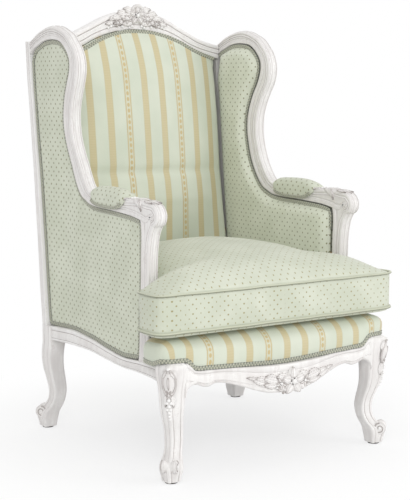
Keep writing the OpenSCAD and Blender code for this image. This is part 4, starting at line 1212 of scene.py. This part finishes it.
def dented(points):
    # shallow puckers down the boxing and slow waves over the top
    far, way = awayFrom(seamLine, points[:, :2])
    s = aroundAt(points[:, :2])
    z = (points[:, 2] - cushionLow) / cushion["boxing"]
    band = np.clip(4 * z * (1 - z), 0, 1) * np.clip(1 - far / 16, 0, 1)
    pucker = np.sin(s / cushion["puckerEvery"] + 2 * np.sin(s / 71.0)) * cushion["pucker"]
    pucker += np.sin(s / cushion["foldEvery"] + z * 1.5) * cushion["fold"]
    top = np.clip((points[:, 2] - cushionTop - 6) / 14, 0, 1)
    wave = np.sin(points[:, 0] / 41.0 + 1) * np.sin(points[:, 1] / 53.0) * cushion["wave"]
    moved = points.copy()
    moved[:, :2] -= way * (band * (pucker - 0.6))[:, None]
    moved[:, 2] += wave * top
    return moved


def cushionPiece():
    points, faces = puffed("seatCushion", cushionShape(), cushion, seamHold)
    points = dented(points)
    piece = makePiece("seatCushion", (points, faces), "seat_silk",
                      ["cushion_top", "cushion_bottom", "cushion_boxing", "cushion_filling"],
                      slot="dotted_silk", body="seat_cushion", sharp=180)
    # the boxing's cloth runs round the cushion and the top's lies flat, each with its own corners
    mesh = piece.data
    run = aroundAt(points[:, :2])
    far, way = awayFrom(seamLine, points[:, :2])
    high = np.maximum(points[:, 2] - cushionTop, 0)
    slope = np.clip(cushion["ease"] - (np.hypot(far, high) - far), 0, cushion["ease"])
    slope *= np.clip((60 - far) / 25, 0, 1)
    onTop = points[:, :2] - way * slope[:, None]
    places = np.zeros((len(mesh.loops), 3), np.float32)
    for polygon in mesh.polygons:
        ids = list(polygon.vertices)
        onSide = cushionLow - 1 < points[ids, 2].mean() < cushionTop and far[ids].max() < 30
        for loop, i in zip(polygon.loop_indices, ids):
            places[loop, :2] = (run[i], points[i][2]) if onSide else onTop[i]
    keep(mesh, "cloth", "CORNER", places * np.float32(mm))
    subdivide = piece.modifiers.new("finer", "SUBSURF")
    subdivide.levels = subdivide.render_levels = 1


cushionPiece()
for name, z, node, radius in (("upperPiping", cushionTop + 3.6, "upper_piping", 3.0),
                              ("lowerPiping", cushion["base"] + 4.6, "lower_piping", 3.8)):
    line = evenLine(inset(cushionOutline, radius - 0.4), 4, True)
    s = lengths(line)
    wobble = 0.5 * np.sin(s / 47.0) + 0.3 * np.sin(s / 19.0 + 1)
    shape = tube(np.column_stack([line, z + wobble]), radius, 10, True)
    places = [(s[i // 10], 6.25 + (i % 10) * 0.05) for i in range(len(shape[0]))]
    makePiece(name, shape, "corded_silk", [node], slot="dotted_silk", body="seat_cushion", cloth=places)
print("cushion made")


# arm pads

# a station is the place along the arm, the pad's top and its lower edge
padStations = [[59, 674, 661], [52, 680, 650], [38, 685, 642], [12, 687, 637], [-20, 688, 635],
               [-58, 687, 635], [-86, 683, 639], [-104, 677, 648], [-116, 671, 657]]
armPad = {"mid": 300, "half": 23.0, "foot": 16.4, "back": 59, "front": -116, "round": 14, "waist": 0.42,
          "wrap": 128, "under": 0.616,  # in degrees, and minus its cosine
          "seat": [[-146, 665], [-98, 662], [20, 662], [44, 664], [62, 668]]}


def armPadShape():
    rings, cloth = [], []
    rows = smoothLine(padStations, 5)
    ends = np.minimum(armPad["back"] - rows[:, 0], rows[:, 0] - armPad["front"]) / armPad["round"]
    ends = np.clip(ends, 0, 1) ** 0.5
    mid, foot = armPad["mid"], armPad["foot"]
    for k, (y, top, low) in enumerate(rows):
        seat = table(armPad["seat"], y) + 0.4
        wide = 16.5 + (armPad["half"] - 15.9) * (0.3 + 0.7 * ends[k])
        waist = low + (top - low) * armPad["waist"]
        arc = []
        for a in np.linspace(-1, 1, 23):
            turn = abs(a) * math.radians(armPad["wrap"])
            up, over = math.cos(turn), math.sin(turn)
            x = wide * (over ** 0.8 if turn < math.pi / 2 else 0.86 + 0.14 * over)
            z = waist + ((top - waist) * up ** 0.85 if up > 0 else (waist - low) * up / armPad["under"])
            arc.append((math.copysign(x, a) if a else 0.0, z))
        base = ((foot, low), (foot, seat), (-foot, seat), (-foot, low))
        rings.append([(mid + x, y, z) for x, z in [*arc, *base]])
        run = lengths(np.array(arc))
        cloth += [(y, r - run[11]) for r in run] + [(y, run[11])] * 4
    return sweep(rings), cloth


shape, cloth = armPadShape()
for piece in leftAndRight("armPad", spreadShape(shape), "dotted_silk", ["arm_pad"], cloth=cloth, sharp=75):
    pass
rows = smoothLine(padStations, 8)
rows = rows[(rows[:, 0] < 50) & (rows[:, 0] > -106)]
both, places = [], []
for way in (-1, 1):
    x = armPad["mid"] + way * (armPad["half"] + 0.5)
    line = evenLine(np.column_stack([np.full(len(rows), x), rows[:, 0], rows[:, 2] + 3]), braid["step"])
    shape, more = braidShape(line, (way, 0, -0.15), width=8)
    both.append(shape)
    places += more
leftAndRight("armPadBraid", spreadShape(join(both)), "braid", ["arm_pad_gimp"], cloth=places)
print("arm pads made")


# carvings: leaves, petals and berries laid over a surface

def leafShape(place, start, angle, length, width, rise=5.0, curl=0.0, lobes=4, bend=0.0, rows=22, columns=13):
    # a leaf from start at an angle, over a surface given by place(a, b, h)
    shares, walk, front = np.linspace(0, 1, rows), 12, []
    for k in shares:
        turn = math.radians(angle + bend * k)
        centre = np.array(start, float)
        for q in range(walk):  # along the bent middle line
            part = math.radians(angle + bend * k * (q + 0.5) / walk)
            centre = centre + np.array([math.cos(part), math.sin(part)]) * length * k / walk
        across = np.array([-math.sin(turn), math.cos(turn)])
        shoulder = math.sin(math.pi * min(max(k, 0.02), 0.985) ** 0.75) ** 0.75
        wave = lobes * 2 * math.pi * k
        half = width / 2 * shoulder * (1 + 0.12 * math.cos(wave))
        row = []
        for q in np.linspace(-1, 1, columns):
            flat = centre + across * half * q
            vein = 0.26 * math.exp(-(q / 0.2) ** 2)
            ribs = 0.04 * math.cos(wave - abs(q) * 4)
            high = -1.0 + curl * k ** 3 * 0.6
            if abs(q) < 1:
                body = 0.75 * (1 - q * q) ** 0.5 * (0.85 + ribs)
                high = rise * shoulder ** 0.5 * (0.35 + body - vein) + curl * k ** 3
            row.append(place(flat[0], flat[1], high))
        front.append(row)
    front = np.array(front)
    m, n = front.shape[:2]
    # the underside is two strips that meet on a middle line
    points = np.vstack([front.reshape(-1, 3), (front[:, 0] + front[:, -1]) / 2])
    faces = gridFaces(m, n)
    for i in range(m - 1):
        b = m * n + i
        faces.append(((i + 1) * n + n - 1, b + 1, b, i * n + n - 1))
        faces.append((b + 1, (i + 1) * n, i * n, b))
    faces.append(tuple(range(n)) + (m * n,))
    faces.append((m * n + m - 1,) + tuple((m - 1) * n + j for j in range(n)))
    return points, faces


def beads(place, spots, rise):
    return [ball(place(a, b, rise), radius, 7, 10) for a, b, radius in spots]


def flower(place, a, b, size, rise, turn=90, petals=5):
    around = [math.radians(turn + i * 180 / petals) for i in range(2 * petals)]
    spots = [(math.cos(angle), math.sin(angle)) for angle in around]
    shapes = [leafShape(place, (a + x * size * 0.22, b + y * size * 0.22), turn + i * 360 / petals,
                        size * 0.82, size * 0.8, rise, 2.0, 1, 0, 12, 11)
              for i, (x, y) in enumerate(spots[::2])]
    shapes += beads(place, [(a, b, size * 0.2)], rise * 0.8)
    return shapes + beads(place, [(a + x * size * 0.27, b + y * size * 0.27, size * 0.075)
                                  for x, y in spots[1::2]], rise * 0.7)


def flowerPair(place, a, b, size, rise):
    return flower(place, a, b, size, rise, 60) + flower(place, -a, b, size, rise, 120)


apronMid = 14.0  # the spray sits a little off the middle


def onApron(a, b, h):
    x = a + apronMid
    return (x, table(apronStations, abs(x), 3) - h, b)


def onCrest(a, b, h):
    return (a, crest["front"] - h, b)


def bothWays(leaves, place, axis=0, **more):
    # each leaf and its mirror image, or one leaf where it starts on the middle line
    shapes = []
    for start, angle, *size, bend in leaves:
        shapes.append(leafShape(place, start, angle, *size, bend, **more))
        if start[axis]:
            other, flip = ((-start[0], start[1]), 180) if axis == 0 else ((start[0], -start[1]), 0)
            shapes.append(leafShape(place, other, flip - angle, *size, -bend, **more))
    return shapes


kneeLine = smoothLine(frontLeg["stations"], 6)


def onKnee(a, b, h):
    # b is the height up the right front leg, a runs across its corner
    q = math.sqrt(0.5)
    d = table(kneeLine, b) * q
    out = table(kneeLine, b, 2) * 1.287 + h - 0.78 * (math.sqrt(a * a + 20) - 4.4)
    x, y = frontLeg["foot"]
    return (x + d + q * (out + a), y - d - q * (out - a), b)


armTop = smoothLine([s[:2] for s in armStations], 8)
armTop = armTop[armTop[:, 0] < -90]
armTop = np.column_stack([lengths(armTop), armTop, tangents(armTop)])


armEnd = {"flat": 13.5, "round": 7, "drop": 3.5, "out": 2.6}  # half its flat top, and the rounding beside it


def onArm(a, b, h):
    # a is the distance forward over the arm's end, b runs across it and down its sides
    y, z, ty, tz = (np.interp(a, armTop[:, 0], armTop[:, k]) for k in (1, 2, 3, 4))
    over = max(abs(b) - armEnd["flat"], 0)
    bend = min(over / armEnd["round"], 1) * math.pi / 2
    sink = armEnd["drop"] * (1 - math.cos(bend)) + max(over - armEnd["round"], 0)
    out = min(abs(b), armEnd["flat"]) + armEnd["out"] * math.sin(bend) + h * math.sin(bend)
    high = h * math.cos(bend) - sink
    return (armPad["mid"] + math.copysign(out, b), y + tz * high, z - ty * high)


carvingLook = {"carved": 1.15, "sharp": 60}

# each leaf: start, angle, length, width, rise, curl at the tip, lobes, bend; each bead: place and radius
kneeLeaves = [((0, 273), -90, 62, 30, 4, 0, 0, 0), ((4, 275), -30, 26, 14, 5, 2, 3, -60),
              ((7, 218), -72, 32, 13, 4, 1.5, 4, -24)]
kneeBow = [(2, 279), (9, 274), (14.5, 262), (16, 246), (13.5, 230), (8, 220), (3.5, 221), (3.5, 226),
           (6.5, 227)]
kneeBeads = [(0, 205, 4.8), (5, 198, 4.0), (-5, 198, 4.0), (0, 190, 4.4), (4, 182, 3.6), (-4, 182, 3.6),
             (0, 174, 3.8), (0, 165, 3.2), (0, 157, 2.6), (0, 281, 4.4)]
shapes = bothWays(kneeLeaves, onKnee, rows=16, columns=9)
shapes.append(leafShape(lambda a, b, h: onKnee(a, b, h + 3.2), (0, 262), -90, 32, 9, 4, 0, 0, 0, 14, 9))
for way in (-1, 1):
    shapes.append(tube([onKnee(way * a, b, 2.6) for a, b in smoothLine(kneeBow, 6)], 2.7, 8))
shapes += beads(onKnee, kneeBeads, 1.4)
leftAndRight("kneeCarving", join(shapes), "painted_wood", **carvingLook)

armLeaves = [((52, 0), 0, 74, 24, 4.5, 1.5, 6, 0), ((56, 3), 24, 62, 18, 4, 2, 5, 20),
             ((84, 10), 40, 40, 14, 3.5, 1.5, 4, 30), ((44, 0), 180, 30, 18, 4, 3, 3, 0),
             ((46, 5), 156, 28, 14, 4, 3, 3, -16), ((118, 0), 0, 44, 18, 4, 1, 4, 0),
             ((110, 8), 18, 44, 13, 3.6, 1.2, 4, -20)]
armBeads = [(48, 0, 4.2), (48, 7, 3.2), (48, -7, 3.2)]
shapes = bothWays(armLeaves, onArm, 1, rows=18, columns=11) + beads(onArm, armBeads, 2.0)
leftAndRight("armCarving", spreadShape(join(shapes)), "painted_wood", **carvingLook)

apronLeaves = [((18, 224), 26, 34, 20, 6, 2, 4, -40), ((18, 204), -30, 32, 20, 6, 2, 4, 44),
               ((44, 216), 14, 52, 20, 6, 2, 6, 6), ((50, 224), 32, 36, 16, 5, 2, 5, -34),
               ((48, 207), -2, 44, 16, 5, 2, 5, 26), ((80, 224), 24, 36, 15, 5, 2, 5, -24),
               ((84, 216), 12, 42, 15, 4, 2, 5, 20), ((104, 228), 18, 34, 11, 4, 1, 4, -10)]
shapes = bothWays(apronLeaves, onApron) + flower(onApron, 0, 213, 35, 12)
shapes += flowerPair(onApron, 37, 211, 17, 7) + flower(onApron, -26, 194, 11, 6, 30)
apronBeads = [(-52, 208, 4), (-48, 201, 3.4), (50, 206, 4), (46, 199, 3.4), (22, 192, 3.6), (29, 195, 3)]
shapes += beads(onApron, apronBeads, 1.5)
makePiece("apronCarving", join(shapes), "painted_wood", ["apron_carving"], **carvingLook)

crestLeaves = [((10, 1140), 50, 40, 24, 8, 4, 3, -50), ((14, 1132), 14, 46, 22, 8, 3, 4, -26),
               ((12, 1120), -18, 40, 18, 7, 2, 4, 20), ((36, 1142), 26, 32, 20, 7, 4, 3, -64),
               ((46, 1134), 0, 40, 20, 7, 3, 4, -20), ((44, 1122), -20, 34, 16, 6, 2, 4, 10),
               ((66, 1130), 8, 28, 15, 6, 3, 3, -56), ((76, 1120), -26, 28, 15, 5, 2, 3, 20),
               ((3, 1144), 74, 22, 20, 8, 3, 2, 0)]
crestBeads = [(16, 1108, 4.4), (24, 1104, 3.6), (48, 1106, 4), (84, 1106, 4.4), (92, 1102, 3.4)]
shapes = bothWays(crestLeaves, onCrest)
# rolled scroll over the top
roll = smoothLine([(-15, 1141, 3), (-17, 1153, 6), (-9, 1163, 7), (4, 1165, 7), (15, 1158, 7), (18, 1147, 6),
                   (12, 1140, 7), (7, 1146, 8)], 6)
shapes.append(tube([onCrest(*p) for p in roll], 4.6, 10))
shapes += flower(onCrest, 0, 1138, 27, 12)
shapes += flowerPair(onCrest, 33, 1128, 16, 9) + flowerPair(onCrest, 64, 1116, 12, 8)
shapes += beads(onCrest, [(way * a, b, r) for a, b, r in crestBeads for way in (1, -1)], 1.5)
makePiece("crestCarving", join(shapes), "painted_wood", ["crest_carving"], **carvingLook)
print("carvings made")


# floor, lights and camera

ground = {"colour": (0.95, 0.95, 0.95, 1), "lit": 0.72, "near": 0.42, "far": 0.95, "size": 12, "low": -0.0005}


def makeFloor():
    # takes the object's shadow close by and goes over into plain white further out
    f = Finish("paleFloor")
    x, y, z = f.axes(f.own())
    far = f.smooth((x * x + y * y).do("SQRT"), ground["near"], ground["far"])
    share = 1 - (1 - ground["lit"]) * (1 - far)
    lit = f.node("ShaderNodeBsdfDiffuse", {}, {"Color": ground["colour"]})
    white = f.node("ShaderNodeEmission", {}, {"Color": (1, 1, 1, 1), "Strength": 1.0})
    both = f.node("ShaderNodeMixShader", {}, {0: share * f.seen(), 1: lit, 2: white})
    f.node("ShaderNodeOutputMaterial", {}, {"Surface": both})
    return f.material


mesh = bpy.data.meshes.new("floor")
size = ground["size"]
mesh.from_pydata([(-size, -size, 0), (size, -size, 0), (size, size, 0), (-size, size, 0)], [], [(0, 1, 2, 3)])
mesh.materials.append(makeFloor())
floor = bpy.data.objects.new("floor", mesh)
floor.location.z = ground["low"]
bpy.context.scene.collection.objects.link(floor)
floor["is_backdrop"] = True

room = {"level": 0.71, "colour": (1.0, 1.0, 1.0, 1)}
world = bpy.data.worlds.new("room")
bpy.context.scene.world = world
world.use_nodes = True
f = Finish("room", world.node_tree)
strength = f.seen() * (1 - room["level"]) + room["level"]
sky = f.node("ShaderNodeBackground", {}, {"Color": room["colour"], "Strength": strength})
f.node("ShaderNodeOutputWorld", {}, {"Surface": sky})


def aimed(name, data, where, aim):
    # puts a lamp or the camera somewhere, looking at a point
    made = bpy.data.objects.new(name, data)
    bpy.context.scene.collection.objects.link(made)
    made.location = where
    made.rotation_euler = Vector(np.array(aim) - np.array(where)).to_track_quat("-Z", "Y").to_euler()
    return made


# each lamp: where, how wide, how strong
lamps = {"key": ((-2.0, -3.0, 2.1), 1.5, 44), "fill": ((2.3, -2.8, 1.4), 2.0, 30),
         "top": ((0.2, 0.2, 3.4), 2.6, 12)}
for name, (where, size, power) in lamps.items():
    light = bpy.data.lights.new(name, "AREA")
    light.shape, light.size, light.energy = "DISK", size, power
    aimed(name, light, where, (0, 0, 0.5))

shot = {"azimuth": -34.033, "elevation": 7.3165, "distance": 3.5406, "target": (0, 0, 0.49), "lens": 94.914,
        "shift": (0.00186, 0.00988)}
a, e = math.radians(shot["azimuth"]), math.radians(shot["elevation"])
away = np.array([math.sin(a) * math.cos(e), -math.cos(a) * math.cos(e), math.sin(e)])
lens = bpy.data.cameras.new("camera")
lens.lens, lens.sensor_width, lens.sensor_fit = shot["lens"], 36, "AUTO"
lens.shift_x, lens.shift_y = shot["shift"]
eye = np.array(shot["target"]) + away * shot["distance"]
bpy.context.scene.camera = aimed("camera", lens, eye, shot["target"])
bpy.context.scene.view_settings.view_transform = "Standard"

low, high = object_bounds()
print("scene ready")
